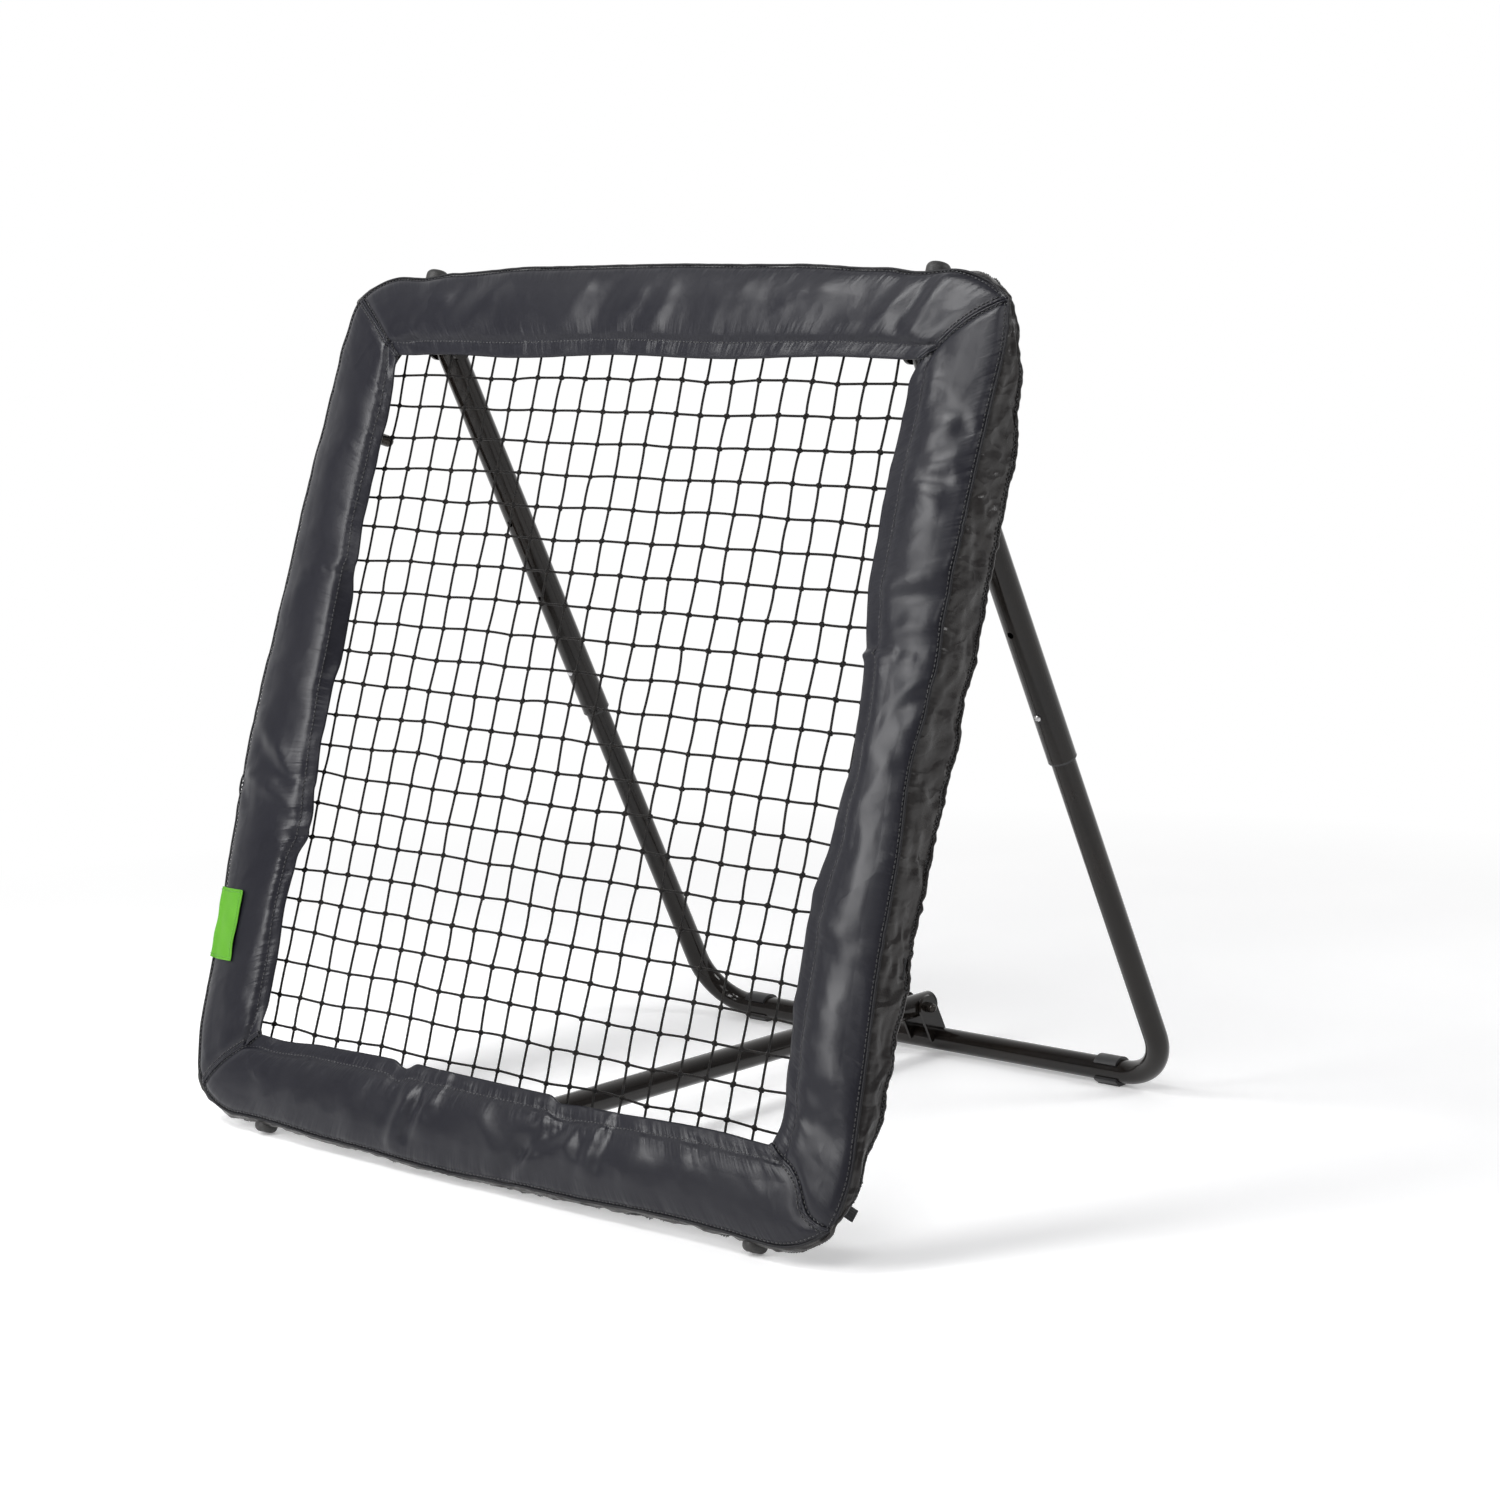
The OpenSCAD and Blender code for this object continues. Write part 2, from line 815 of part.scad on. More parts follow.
module foam_strips() {
    color(foam_grey)
        at_opening() {
            both_sides()
                difference() {
                    foam(side_panel);
                    translate([half_w, 0, joint_h - joint_bolt_in - mid_h])
                        rotate([90, 0, 0])
                            cylinder(r = joint_bolt_d + 1, h = frame_od * 2);
                }
            top_and_bottom()
                rotate([0, -90, 0])
                    foam(top_panel);
        }
}

// Band of even thickness on the left of a line of points
function band(line) =
    let (
        n = len(line),
        left = [for (i = [0 : n - 1])
            let (d = line[min(i + 1, n - 1)] - line[max(i - 1, 0)])
            line[i] + strap_t * [-d[1], d[0]] / norm(d)]
    )
    concat(line, [for (i = [n - 1 : -1 : 0]) left[i]]);

// Strap from the gusset's rear hem, round the back of the tube, to the hem at the opening
module strap(p, t, bar) {
    edge = on_gusset(p, 0.85, t, -cover_t);
    inner = on_front(p, 0, t, -cover_t);
    wrap = (frame_r + clear) / cos(20);
    translate([0, 0, inner[2]])
        linear_extrude(strap_w, center = true)
            polygon(band(concat(
                [[inner[0] - flap_fold, inner[1]]],
                [for (a = [160 : -40 : 40]) [bar + wrap * cos(a), wrap * sin(a)]],
                [[edge[0], edge[1]]]
            )));
}

module pad_straps() {
    color(black)
        at_opening() {
            for (t = [-0.5, 0, 0.5])
                both_sides()
                    strap(side_panel, t, half_w);
            for (t = [-0.5, 0.5]) {
                rotate([0, -90, 0])
                    strap(top_panel, t, mid_h);
                mirror([0, 0, 1])
                    rotate([0, -90, 0])
                        strap(bottom_panel, t, mid_h);
            }
        }
}

// Woven tag folded over the outer seam and sewn down on the front and on the gusset
module side_tag() {
    p = side_panel;
    mid_t = (tag_h - mid_h) / (p[3] - pad_corner) * arc_t;
    half_t = tag_len / 2 / (p[3] - pad_corner) * arc_t;
    s0 = 1 - tag_w / (p[2] - pad_draw - p[0] - hem_w);
    fronts = [s0, mix(s0, 1, 0.35), mix(s0, 1, 0.7), 0.95];
    over = piping_d / 2;
    color(green)
        at_opening()
            mirror([1, 0, 0])
                skin([for (k = [-2 : 2])
                    let (t = mid_t + k / 2 * half_t)
                    concat(
                        [for (s = fronts) on_front(p, s, t, tag_t + 0.1)],
                        [on_gusset(p, 0, t, over + 1 + tag_t) - [0, over + tag_t, 0]],
                        [on_gusset(p, 0.1, t, over + tag_t)],
                        [on_gusset(p, 0.25, t, 0.1 + tag_t)],
                        [on_gusset(p, 0.25, t, 0.1)],
                        [on_gusset(p, 0.1, t, over)],
                        [on_gusset(p, 0, t, over + 1) - [0, over, 0]],
                        [for (i = [3 : -1 : 0]) on_front(p, fronts[i], t, 0.1)]
                    )]);
}

// ---- top hinge and rear frame --------------------------------------------------------

module at_hinges() {
    for (s = [-1, 1])
        translate([s * leg_x, hinge_y, hinge_z])
            children();
}

module hinge_bolts() {
    grip = upper_od + 2 * (ear_gap + ear_t + fit);
    color(steel)
        at_hinges()
            bolt_x(hinge_bolt_d, grip, nut_h);
}

module hinge_nuts() {
    grip = upper_od + 2 * (ear_gap + ear_t + fit);
    color(black)
        at_hinges()
            nut_x(hinge_bolt_d, grip);
}

module hole_to_front(z, reach) {
    translate([0, 0, z])
        rotate([90, 0, 0])
            cylinder(d = hole_d, h = reach);
}

module upper_leg() {
    difference() {
        translate([0, 0, upper_mouth])
            tube(upper_od, upper_wall, leg_len - upper_mouth + upper_top);
        translate([0, 0, leg_len])
            rotate([0, 90, 0])
                cylinder(r = hinge_bolt_d / 2 + fit, h = upper_od + 2, center = true);
        for (i = [0 : hole_n - 1])
            hole_to_front(button_pos + i * hole_pitch, upper_od);
    }
}

module upper_leg_left() {
    color(black)
        on_legs()
            translate([-leg_x, 0, 0])
                upper_leg();
}

module upper_leg_right() {
    color(black)
        on_legs()
            translate([leg_x, 0, 0])
                upper_leg();
}

// Cap with a stem pushed into the end of a tube, the end facing +Z
module end_plug(od, bore, stem) {
    cylinder(d = od, h = cap_t);
    translate([0, 0, cap_t])
        cylinder(d1 = od, d2 = od - 4 * cap_bevel, h = cap_bevel);
    translate([0, 0, -stem])
        tube(bore, cap_t, stem + eps);
}

module upper_leg_plugs() {
    stem = upper_top - hinge_bolt_d / 2 - 1;
    color(rubber)
        on_legs()
            for (s = [-1, 1])
                translate([s * leg_x, 0, leg_len + upper_top])
                    end_plug(upper_od, upper_od - 2 * upper_wall - fit, stem);
}

// Plastic sleeve in the mouth of each upper tube, guiding the lower tube
module guide_sleeves() {
    lip = 3;
    bore = lower_od + 2 * fit;
    color(rubber)
        on_legs()
            for (s = [-1, 1])
                translate([s * leg_x, 0, upper_mouth - lip])
                    difference() {
                        union() {
                            cylinder(d = upper_od, h = lip);
                            cylinder(d = upper_od - 2 * upper_wall, h = lip + sleeve_len);
                        }
                        translate([0, 0, -1])
                            cylinder(d = bore, h = lip + sleeve_len + 2);
                    }
}

module rear_u_tube() {
    color(black)
        on_legs() {
            translate([-leg_x + lower_bend, 0, 0])
                rotate([0, 90, 0])
                    tube(lower_od, lower_wall, leg_gap - 2 * lower_bend);
            both_sides() {
                translate([leg_x - lower_bend, 0, lower_bend])
                    mirror([0, 0, 1])
                        bend(lower_od, lower_wall, lower_bend);
                translate([leg_x, 0, 0])
                    difference() {
                        translate([0, 0, lower_bend])
                            tube(lower_od, lower_wall, lower_top - lower_bend);
                        hole_to_front(button_pos, lower_od);
                    }
            }
        }
}

// Snap-on foot: an open C round the crossbar, its mouth to the front, with a flat sole
module crossbar_clips() {
    color(rubber)
        for (s = [-1, 1])
            translate([s * clip_gap / 2, cross_y, clip_r])
                rotate([90, 0, 90])
                    linear_extrude(clip_len, center = true)
                        difference() {
                            union() {
                                circle(r = clip_r);
                                translate([-sole_w / 2, -clip_r])
                                    square([sole_w, clip_r]);
                            }
                            circle(d = lower_od);
                            polygon([
                                [0, 0],
                                [-3 * clip_r, 2 * clip_r],
                                [-3 * clip_r, -2 * clip_r]
                            ]);
                        }
}

module strut_rear_ears() {
    side = slide_r + ear_gap;
    color(black)
        on_legs()
            difference() {
                for (e = [-side - ear_t, side])
                    translate([e, 0, rear_up])
                        ear(rear_up, 2 * ear_r, strut_bolt_d + 2 * fit);
                rotate([0, 90, 0])
                    cylinder(d = lower_od, h = 4 * lower_od, center = true);
            }
}

module strut_rear_bolt() {
    color(steel)
        translate([0, rear_y, rear_z])
            bolt_x(strut_bolt_d, slide_od + 2 * (ear_gap + ear_t + fit), nut_h);
}

module strut_rear_nut() {
    color(black)
        translate([0, rear_y, rear_z])
            nut_x(strut_bolt_d, slide_od + 2 * (ear_gap + ear_t + fit));
}

// Snap button pointing to -Y on a V-shaped strip of spring steel inside the inner tube
module snap_button(bore_r, out_r) {
    strip_w = hole_d;
    button_d = hole_d - 2 * fit;
    face = sqrt(bore_r * bore_r - strip_w * strip_w / 4) - fit;
    inner = face - spring_t;
    rotate([90, 0, 90])
        linear_extrude(strip_w, center = true)
            polygon([
                [-face, strip_up], [-face, -strip_down],
                [-strip_fold, -spring_len], [strip_fold, -spring_len],
                [face, -strip_down], [face, 0],
                [inner, 0], [inner, -strip_down - spring_t / 3],
                [strip_fold - spring_t, spring_t - spring_len],
                [spring_t - strip_fold, spring_t - spring_len],
                [-inner, -strip_down - spring_t / 3], [-inner, strip_up]
            ]);
    rotate([90, 0, 0]) {
        translate([0, 0, inner])
            cylinder(d = button_d, h = out_r - inner);
        translate([0, 0, out_r - eps])
            intersection() {
                scale(button_d / 10)
                    translate([0, 0, -3])
                        sphere(d = 11.66);
                cylinder(d = button_d, h = button_d);
            }
    }
}

module leg_button() {
    snap_button(lower_r - lower_wall, upper_od / 2 + 1);
}

module leg_button_left() {
    color(steel)
        on_legs()
            translate([-leg_x, 0, button_pos])
                leg_button();
}

module leg_button_right() {
    color(steel)
        on_legs()
            translate([leg_x, 0, button_pos])
                leg_button();
}

// ---- strut ---------------------------------------------------------------------------

module strut_front_bolt() {
    color(steel)
        translate([0, front_y, front_z])
            bolt_x(strut_bolt_d, strut_od + 2 * (ear_gap + ear_t + fit), nut_h);
}

module strut_front_nut() {
    color(black)
        translate([0, front_y, front_z])
            nut_x(strut_bolt_d, strut_od + 2 * (ear_gap + ear_t + fit));
}

module hole_to_left(z) {
    translate([0, 0, z])
        rotate([0, -90, 0])
            cylinder(d = hole_d, h = strut_od);
}

module strut_front_tube() {
    color(black)
        on_strut()
            difference() {
                translate([0, 0, -strut_nose])
                    tube(strut_od, strut_od / 2 - slide_r - fit, strut_len + strut_nose);
                rotate([0, 90, 0])
                    cylinder(r = strut_bolt_d / 2 + fit, h = strut_od + 2, center = true);
                for (i = [0 : strut_holes - 1])
                    hole_to_left(strut_button_pos + i * strut_pitch);
            }
}

module strut_front_plug() {
    color(rubber)
        on_strut()
            translate([0, 0, -strut_nose])
                mirror([0, 0, 1])
                    end_plug(strut_od, slide_od, strut_nose - strut_bolt_d / 2 - 1);
}

module strut_rear_tube() {
    color(black)
        on_strut()
            difference() {
                translate([0, 0, slide_front])
                    tube(slide_od, slide_wall, strut_rest - slide_front + slide_tail);
                hole_to_left(strut_button_pos);
                translate([0, 0, strut_rest + (play_back - play_front) / 2])
                    rotate([90, 0, 90])
                        linear_extrude(slide_od + 2, center = true)
                            rounded(
                                strut_bolt_d / 2 + play_up,
                                (strut_bolt_d + play_back + play_front) / 2,
                                3
                            );
                translate([0, 0, strut_rest - stop_pos])
                    rotate([90, 0, 0])
                        cylinder(d = rivet_d + fit, h = slide_od);
            }
}

module strut_stop_rivet() {
    color(steel)
        on_strut()
            translate([0, 0, strut_rest - stop_pos])
                difference() {
                    rotate([90, 0, 0]) {
                        translate([0, 0, slide_r - slide_wall - 1])
                            cylinder(d = rivet_d, h = 4);
                        translate([0, 0, slide_r - 2])
                            cylinder(d = stop_d, h = 3);
                        translate([0, 0, slide_r + 1 - eps])
                            intersection() {
                                scale(stop_d / 10)
                                    translate([0, 0, -4])
                                        sphere(d = 12.8);
                                cylinder(d = stop_d, h = stop_d);
                            }
                    }
                    difference() {
                        cylinder(r = slide_r, h = stop_d * 2, center = true);
                        rotate([90, 0, 0])
                            cylinder(d = rivet_d, h = slide_od);
                    }
                }
}

module strut_button() {
    color(steel)
        on_strut()
            translate([0, 0, strut_button_pos])
                rotate(-90)
                    snap_button(slide_r - slide_wall, strut_od / 2 + 1);
}

frame_bottom_tube();
frame_top_tube();
frame_joint_bolts();
frame_joint_nuts();
bottom_feet();
top_feet();
net();
net_lacing();
cover_top();
cover_bottom();
cover_left();
cover_right();
cover_piping();
foam_strips();
pad_straps();
side_tag();
top_hinge_ears();
strut_front_ears();
hinge_bolts();
hinge_nuts();
upper_leg_left();
upper_leg_right();
upper_leg_plugs();
guide_sleeves();
rear_u_tube();
crossbar_clips();
strut_rear_ears();
strut_rear_bolt();
strut_rear_nut();
leg_button_left();
leg_button_right();
strut_front_bolt();
strut_front_nut();
strut_front_tube();
strut_front_plug();
strut_rear_tube();
strut_stop_rivet();
strut_button();
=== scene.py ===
"""Pitch back rebounder: the looks of the padded net frame on its hinged rear frame.

Lengths are in millimetres in the front frame's own axes (X across the net, Y to the rear,
Z up the frame from the middle of the opening) and become metres in the row frame when a
mesh is made. The padding is one ring of cloth round the opening: `turn` counts its four
sides (0 right, 1 top, 2 left, 3 bottom, whole numbers at the mitres).
"""
from math import acos, atan2, copysign, cos, exp, hypot, pi, radians, sin

import bpy
import numpy as np
from mathutils import Matrix, Vector
from mathutils.noise import noise, noise_vector, seed_set
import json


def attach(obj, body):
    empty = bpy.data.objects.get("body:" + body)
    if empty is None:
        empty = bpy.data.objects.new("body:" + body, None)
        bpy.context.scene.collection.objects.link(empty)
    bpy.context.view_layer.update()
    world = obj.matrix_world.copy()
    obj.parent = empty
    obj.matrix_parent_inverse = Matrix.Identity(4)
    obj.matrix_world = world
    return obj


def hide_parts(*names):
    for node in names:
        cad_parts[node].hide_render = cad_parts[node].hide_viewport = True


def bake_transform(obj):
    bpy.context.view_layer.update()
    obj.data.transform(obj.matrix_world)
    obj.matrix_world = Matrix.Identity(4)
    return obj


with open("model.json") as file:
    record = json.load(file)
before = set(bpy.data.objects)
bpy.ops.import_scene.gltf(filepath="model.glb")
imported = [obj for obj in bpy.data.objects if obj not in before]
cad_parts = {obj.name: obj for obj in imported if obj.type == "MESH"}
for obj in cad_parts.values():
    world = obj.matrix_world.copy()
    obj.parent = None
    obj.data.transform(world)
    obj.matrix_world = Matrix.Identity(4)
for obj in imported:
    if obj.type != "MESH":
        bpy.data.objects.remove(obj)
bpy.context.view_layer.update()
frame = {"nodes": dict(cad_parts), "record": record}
nodes = frame["nodes"]
MM = 0.001
seed_set(7)  # without it noise_vector differs from run to run

# Front frame: size between the axes of its tubes, and the bottom tube's place in the row
FRAME_W, FRAME_H = 1056.0, 1076.0
TUBE_R = 19.0
LEAN = radians(18.8)
BAR_Y, BAR_Z = -409.819, 49.068

# Net: half its size over the edge cord, loops on each side, and the knots' pitch and start
NET_HALF = (495.0, 505.0)
LOOPS = 8
CELL_W, CELL_H = 43.0, 42.2
NET_COLS, NET_ROWS = 22, 24
FIRST_COL, FIRST_ROW = -460.0, -488.4
CORD_R, EDGE_CORD_R = 1.6, 2.8
EDGE_INSET = 3.0

# Padding: half the opening and half the outer seam's size, and the seam's corners
OPEN_HALF = (453.0, 462.0)
PAD_HALF = (585.0, 574.0)
PAD_DRAW = {"right": 28.0}  # how far the middle of a side is drawn in
PAD_CORNER = 115.0
ARC_T = 0.84  # where the corner's arc starts along a side
HEM_Y, SEAM_Y = 28.5, 21.5  # how far the flap and the outer seam stand before the tubes' axes
FRONT_PUFF = 7.5
GUSSET_SWELL = 3.0
FRONT_SPAN, GUSSET_SPAN = 90.0, 70.0  # width of the cloth on the UV map
# Width of the flap at the mitres and at the middle of each side, and its depth along the side
HEM_W = 26.0
HEM_MID = {"right": 26.0, "left": 13.0, "top": 19.0, "bottom": 18.0}
FLAP_DEPTH = {
    "right": [(-1, 2), (-0.9, 7), (0.9, 7), (1, 2)],
    "left": [(-1, 3), (-0.9, 10), (-0.2, 10), (0.02, 16), (0.1, 22), (0.27, 22), (0.38, 12),
             (0.9, 10), (1, 3)],
    "top": [(-1, 1), (-0.9, 4), (0.9, 4), (1, 1)],
    "bottom": [(-1, 1.5), (-0.9, 5), (0.9, 5), (1, 1.5)],
}
# How far the mitres draw the outer seam's corners out, across and up, by turn
CORNER_PULL = ((3.0, -3.0), (12.0, -3.0), (-4.0, 2.0), (-3.0, -3.0))
MITRE_DIP, SEAM_DIP, STITCH_DIP, FLAP_RISE = 4.5, 2.6, 2.0, 0.7
SIDE_COLUMNS = 150
FLAP_ROWS, FRONT_ROWS, GUSSET_ROWS, BACK_ROWS = 3, 15, 10, 4
SEAM_ROW = FLAP_ROWS + FRONT_ROWS
HEM_ROW = SEAM_ROW + GUSSET_ROWS
RING = 4 * SIDE_COLUMNS

# The cloth's run: how firmly the opening's edge is held, frames, the most it may move in mm
RIM_HOLD = 0.55
CLOTH_FRAMES = 22
MOST_SWELL = 10.0
CLOTH_SETTINGS = dict(
    quality=6, mass=0.25, tension_stiffness=18, compression_stiffness=18, shear_stiffness=8,
    bending_stiffness=0.6, air_damping=4, vertex_group_mass="sewn", use_pressure=True,
    uniform_pressure_force=3.0)

TAG_Z, TAG_HALF, TAG_WIDTH = -328.0, 48.0, 59.0

# Studio, in metres: the floor, where it fades to white, and the white seen besides its own
FLOOR_HALF, FLOOR_FADE, FLOOR_FILL = 30.0, (0.9, 2.3), 0.2
# The way to the bright side of the surroundings, and their two greys
LIT_SIDE = (-0.68, 0.73, 0.0)
SKY_DIM, SKY_LIT = (0.24, 0.24, 0.25, 1), (0.62, 0.62, 0.62, 1)
LIGHTS = {  # place, size and power
    "key_light": ((-1.2, -2.1, 3.6), (1.1, 1.1), 64),
    "side_light": ((-0.95, -2.9, 1.8), (1.3, 1.5), 63),
    "fill_light": ((1.9, -2.6, 3.6), (1.8, 1.8), 34),
    "rear_light": ((2.8, 1.5, 2.6), (1.2, 1.2), 36),
}
# Yaw, pitch and roll in degrees, from the fit to the photo
CAMERA_ANGLES = (42.62, 8.75, -1.85)
CAMERA_PLACE = (2.96469, -3.17071, 1.18729)
CAMERA_LENS, CAMERA_SHIFT = 81.116, (0.0068, -0.01564)


# ---- places and meshes

def to_row(points):
    """Front-frame millimetres, measured from the middle of the opening, to row metres."""
    p = np.asarray(points, float)
    up = p[..., 2] + FRAME_H / 2
    c, s = cos(LEAN), sin(LEAN)
    out = np.empty_like(p)
    out[..., 0] = p[..., 0]
    out[..., 1] = BAR_Y + p[..., 1] * c + up * s
    out[..., 2] = BAR_Z - p[..., 1] * s + up * c
    return out * MM


def unit(v):
    return v / np.maximum(np.linalg.norm(v, axis=-1, keepdims=True), 1e-9)


def walked(path):
    """Length along a path up to each of its points."""
    return np.concatenate([[0], np.cumsum(np.linalg.norm(np.diff(path, axis=0), axis=1))])


def corner_points(mesh):
    """The vertex of each face corner."""
    index = np.zeros(len(mesh.loops), int)
    mesh.loops.foreach_get("vertex_index", index)
    return index


def set_uvs(mesh, uvs):
    mesh.uv_layers.new(name="UVMap").data.foreach_set("uv", uvs.ravel())


def show(name, data):
    """A new object in the scene."""
    obj = bpy.data.objects.new(name, data)
    bpy.context.scene.collection.objects.link(obj)
    return obj


def mesh_piece(name, verts, faces, uvs=None):
    """A mesh object from row-frame points and faces; uvs holds one pair per vertex."""
    mesh = bpy.data.meshes.new(name)
    mesh.from_pydata(np.asarray(verts).tolist(), [], [tuple(f) for f in faces])
    mesh.validate()
    mesh.polygons.foreach_set("use_smooth", [True] * len(mesh.polygons))
    if uvs is not None:
        set_uvs(mesh, np.asarray(uvs, float)[corner_points(mesh)])
    return show(name, mesh)


def finish_piece(obj, body, slot, *materials):
    for m in materials:
        obj.data.materials.append(m)
    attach(obj, body)


def modifier(obj, kind, **settings):
    m = obj.modifiers.new(kind.title(), kind)
    for key, value in settings.items():
        setattr(m, key, value)
    return m


def grid_faces(rows, cols, wrap_rows=False, wrap_cols=False, flip=False):
    """Quads of a grid whose vertex (r, c) has index r * cols + c."""
    r, c = np.meshgrid(np.arange(rows if wrap_rows else rows - 1),
                       np.arange(cols if wrap_cols else cols - 1), indexing="ij")
    r2, c2 = (r + 1) % rows, (c + 1) % cols
    quads = np.stack([r * cols + c, r2 * cols + c, r2 * cols + c2, r * cols + c2], -1)
    quads = quads.reshape(-1, 4)
    return quads[:, ::-1] if flip else quads


def capped_faces(rows, cols, flip=False):
    """The quads round a tube of rows rings, and its two end faces."""
    ends = [list(range(cols))[::-1], [(rows - 1) * cols + k for k in range(cols)]]
    return grid_faces(rows, cols, wrap_cols=True, flip=flip).tolist() + [
        end[::-1] if flip else end for end in ends]


class Bundle:
    """Collects swept shapes into one mesh on the front frame."""

    def __init__(self):
        self.verts, self.faces, self.uvs, self.count = [], [], [], 0

    def add(self, verts, faces, uvs):
        faces = faces.tolist() if isinstance(faces, np.ndarray) else faces
        self.verts.append(verts)
        self.faces += [[v + self.count for v in face] for face in faces]
        self.uvs.append(uvs)
        self.count += len(verts)

    def sweep(self, path, across, normal, ring, round_uv, closed=False, ends=True):
        """Rings of points along path; ring holds each point's steps across and to normal."""
        n, sides = len(path), ring.shape[-2]
        verts = path[:, None] + across[:, None] * ring[..., :1] + normal[:, None] * ring[..., 1:]
        if closed or not ends:
            faces = grid_faces(n, sides, wrap_rows=closed, wrap_cols=True)
        else:
            faces = capped_faces(n, sides)
        uv = np.stack([np.repeat(walked(path) * MM, sides), np.tile(round_uv, n)], -1)
        self.add(verts.reshape(-1, 3), faces, uv)

    def tube(self, path, radius, sides, closed=False, flat=1.0, hint=(0.0, 1.0, 0.0)):
        """A tube along path; radius may vary along it, and flat squashes it along the hint."""
        path = np.asarray(path, float)
        along = np.roll(path, -1, 0) - np.roll(path, 1, 0) if closed else np.gradient(path, axis=0)
        along = unit(along)
        across = unit(np.cross(along, np.broadcast_to(hint, path.shape)))
        a = np.arange(sides) / sides * 2 * pi
        ring = np.stack([np.cos(a), np.sin(a) * flat], -1) * np.reshape(radius, (-1, 1, 1))
        self.sweep(path, across, np.cross(across, along), ring, a / (2 * pi), closed)

    def piece(self, name, slot, material):
        obj = mesh_piece(name, to_row(np.concatenate(self.verts)), self.faces,
                         np.concatenate(self.uvs))
        finish_piece(obj, "front_frame", slot, material)
        return obj


def wander(knots, t):
    """Smooth curve through given (t, value) knots."""
    ts, values = zip(*knots)
    t = np.asarray(t, float)
    i = np.clip(np.searchsorted(ts, t) - 1, 0, len(ts) - 2)
    ts, values = np.array(ts), np.array(values)
    q = np.clip((t - ts[i]) / (ts[i + 1] - ts[i]), 0, 1)
    q = (1 - np.cos(pi * q)) / 2
    return values[i] + (values[i + 1] - values[i]) * q


# ---- procedural materials

class Nodes:
    """Adds nodes to a tree. A setting is an input, as a value or a socket, or a property."""

    def __init__(self, tree):
        self.tree = tree

    def link(self, a, b):
        self.tree.links.new(a, b)

    def node(self, kind, **settings):
        n = self.tree.nodes.new("ShaderNode" + kind)
        for key, value in settings.items():
            name = key.replace("_", " ")
            if name not in n.inputs.keys():
                setattr(n, key, value)
            elif isinstance(value, bpy.types.NodeSocket):
                self.link(value, n.inputs[name])
            else:
                n.inputs[name].default_value = value
        return n

    def math(self, op, *values):
        m = self.node("Math", operation=op)
        for socket, v in zip(m.inputs, values):
            if isinstance(v, (int, float)):
                socket.default_value = v
            else:
                self.link(v, socket)
        return m.outputs[0]

    def fit(self, value, low, high, start=0.3, end=0.7):
        """Goes from low to high as value goes from start to end."""
        return self.node("MapRange", From_Min=start, From_Max=end, To_Min=low, To_Max=high,
                         Value=value).outputs["Result"]


class Paint(Nodes):
    """Builds one procedural material, node by node."""

    def __init__(self, name, color, roughness, **inputs):
        self.mat = bpy.data.materials.new(name)
        self.mat.use_nodes = True
        super().__init__(self.mat.node_tree)
        self.bsdf = self.tree.nodes["Principled BSDF"]
        self.color = (*color, 1)
        for key, value in {"Base_Color": self.color, "Roughness": roughness, **inputs}.items():
            self.bsdf.inputs[key.replace("_", " ")].default_value = value

    def coords(self, kind="Object", scale=(1, 1, 1)):
        source = self.node("TexCoord").outputs[kind]
        return self.node("Mapping", Vector=source, Scale=scale).outputs["Vector"]

    def noise(self, scale, detail=3.0, stretch=(1, 1, 1), kind="Object"):
        return self.node("TexNoise", Scale=scale, Detail=detail,
                         Vector=self.coords(kind, stretch)).outputs["Fac"]

    def waves(self, scale, direction):
        return self.node("TexWave", Scale=scale, bands_direction=direction,
                         Vector=self.coords("UV")).outputs["Fac"]

    def tint(self, factor, other):
        """Colour goes from what it was to other as factor goes from 0 to 1."""
        base = self.bsdf.inputs["Base Color"]
        was = base.links[0].from_socket if base.is_linked else self.color
        mix = self.node("Mix", data_type="RGBA", A=was, B=(*other, 1), Factor=factor)
        self.link(mix.outputs["Result"], base)
        return self

    def rough(self, factor, low, high):
        self.link(self.fit(factor, low, high), self.bsdf.inputs["Roughness"])
        return self

    def bump(self, height, depth_mm, strength=1.0):
        """One more layer of relief; layers chain through the normal."""
        b = self.node("Bump", Strength=strength, Distance=depth_mm * MM, Height=height)
        normal = self.bsdf.inputs["Normal"]
        if normal.is_linked:
            self.link(normal.links[0].from_socket, b.inputs["Normal"])
        self.link(b.outputs["Normal"], normal)
        return self


def plain(name, color, roughness, other, tint, gloss=None, relief=(), **inputs):
    """Blotches of another colour, uneven gloss and layers of relief, all from noise.

    Each starts with the noise's scale and detail. The tint's strongest share, the lowest and
    highest roughness, or the depth in mm and the strength of a layer follow.
    """
    p = Paint(name, color, roughness, **inputs)
    p.tint(p.fit(p.noise(*tint[:2]), 0, *tint[2:]), other)
    if gloss:
        p.rough(p.noise(*gloss[:2]), *gloss[2:])
    for layer in relief:
        p.bump(p.noise(*layer[:2]), *layer[2:])
    return p


def weave(paint, threads_per_metre, depth_mm):
    """Plain weave on a UV map in metres."""
    warp = paint.waves(threads_per_metre * pi / 10, "X")
    weft = paint.waves(threads_per_metre * pi / 10, "Y")
    return paint.bump(paint.math("MULTIPLY", warp, weft), depth_mm)


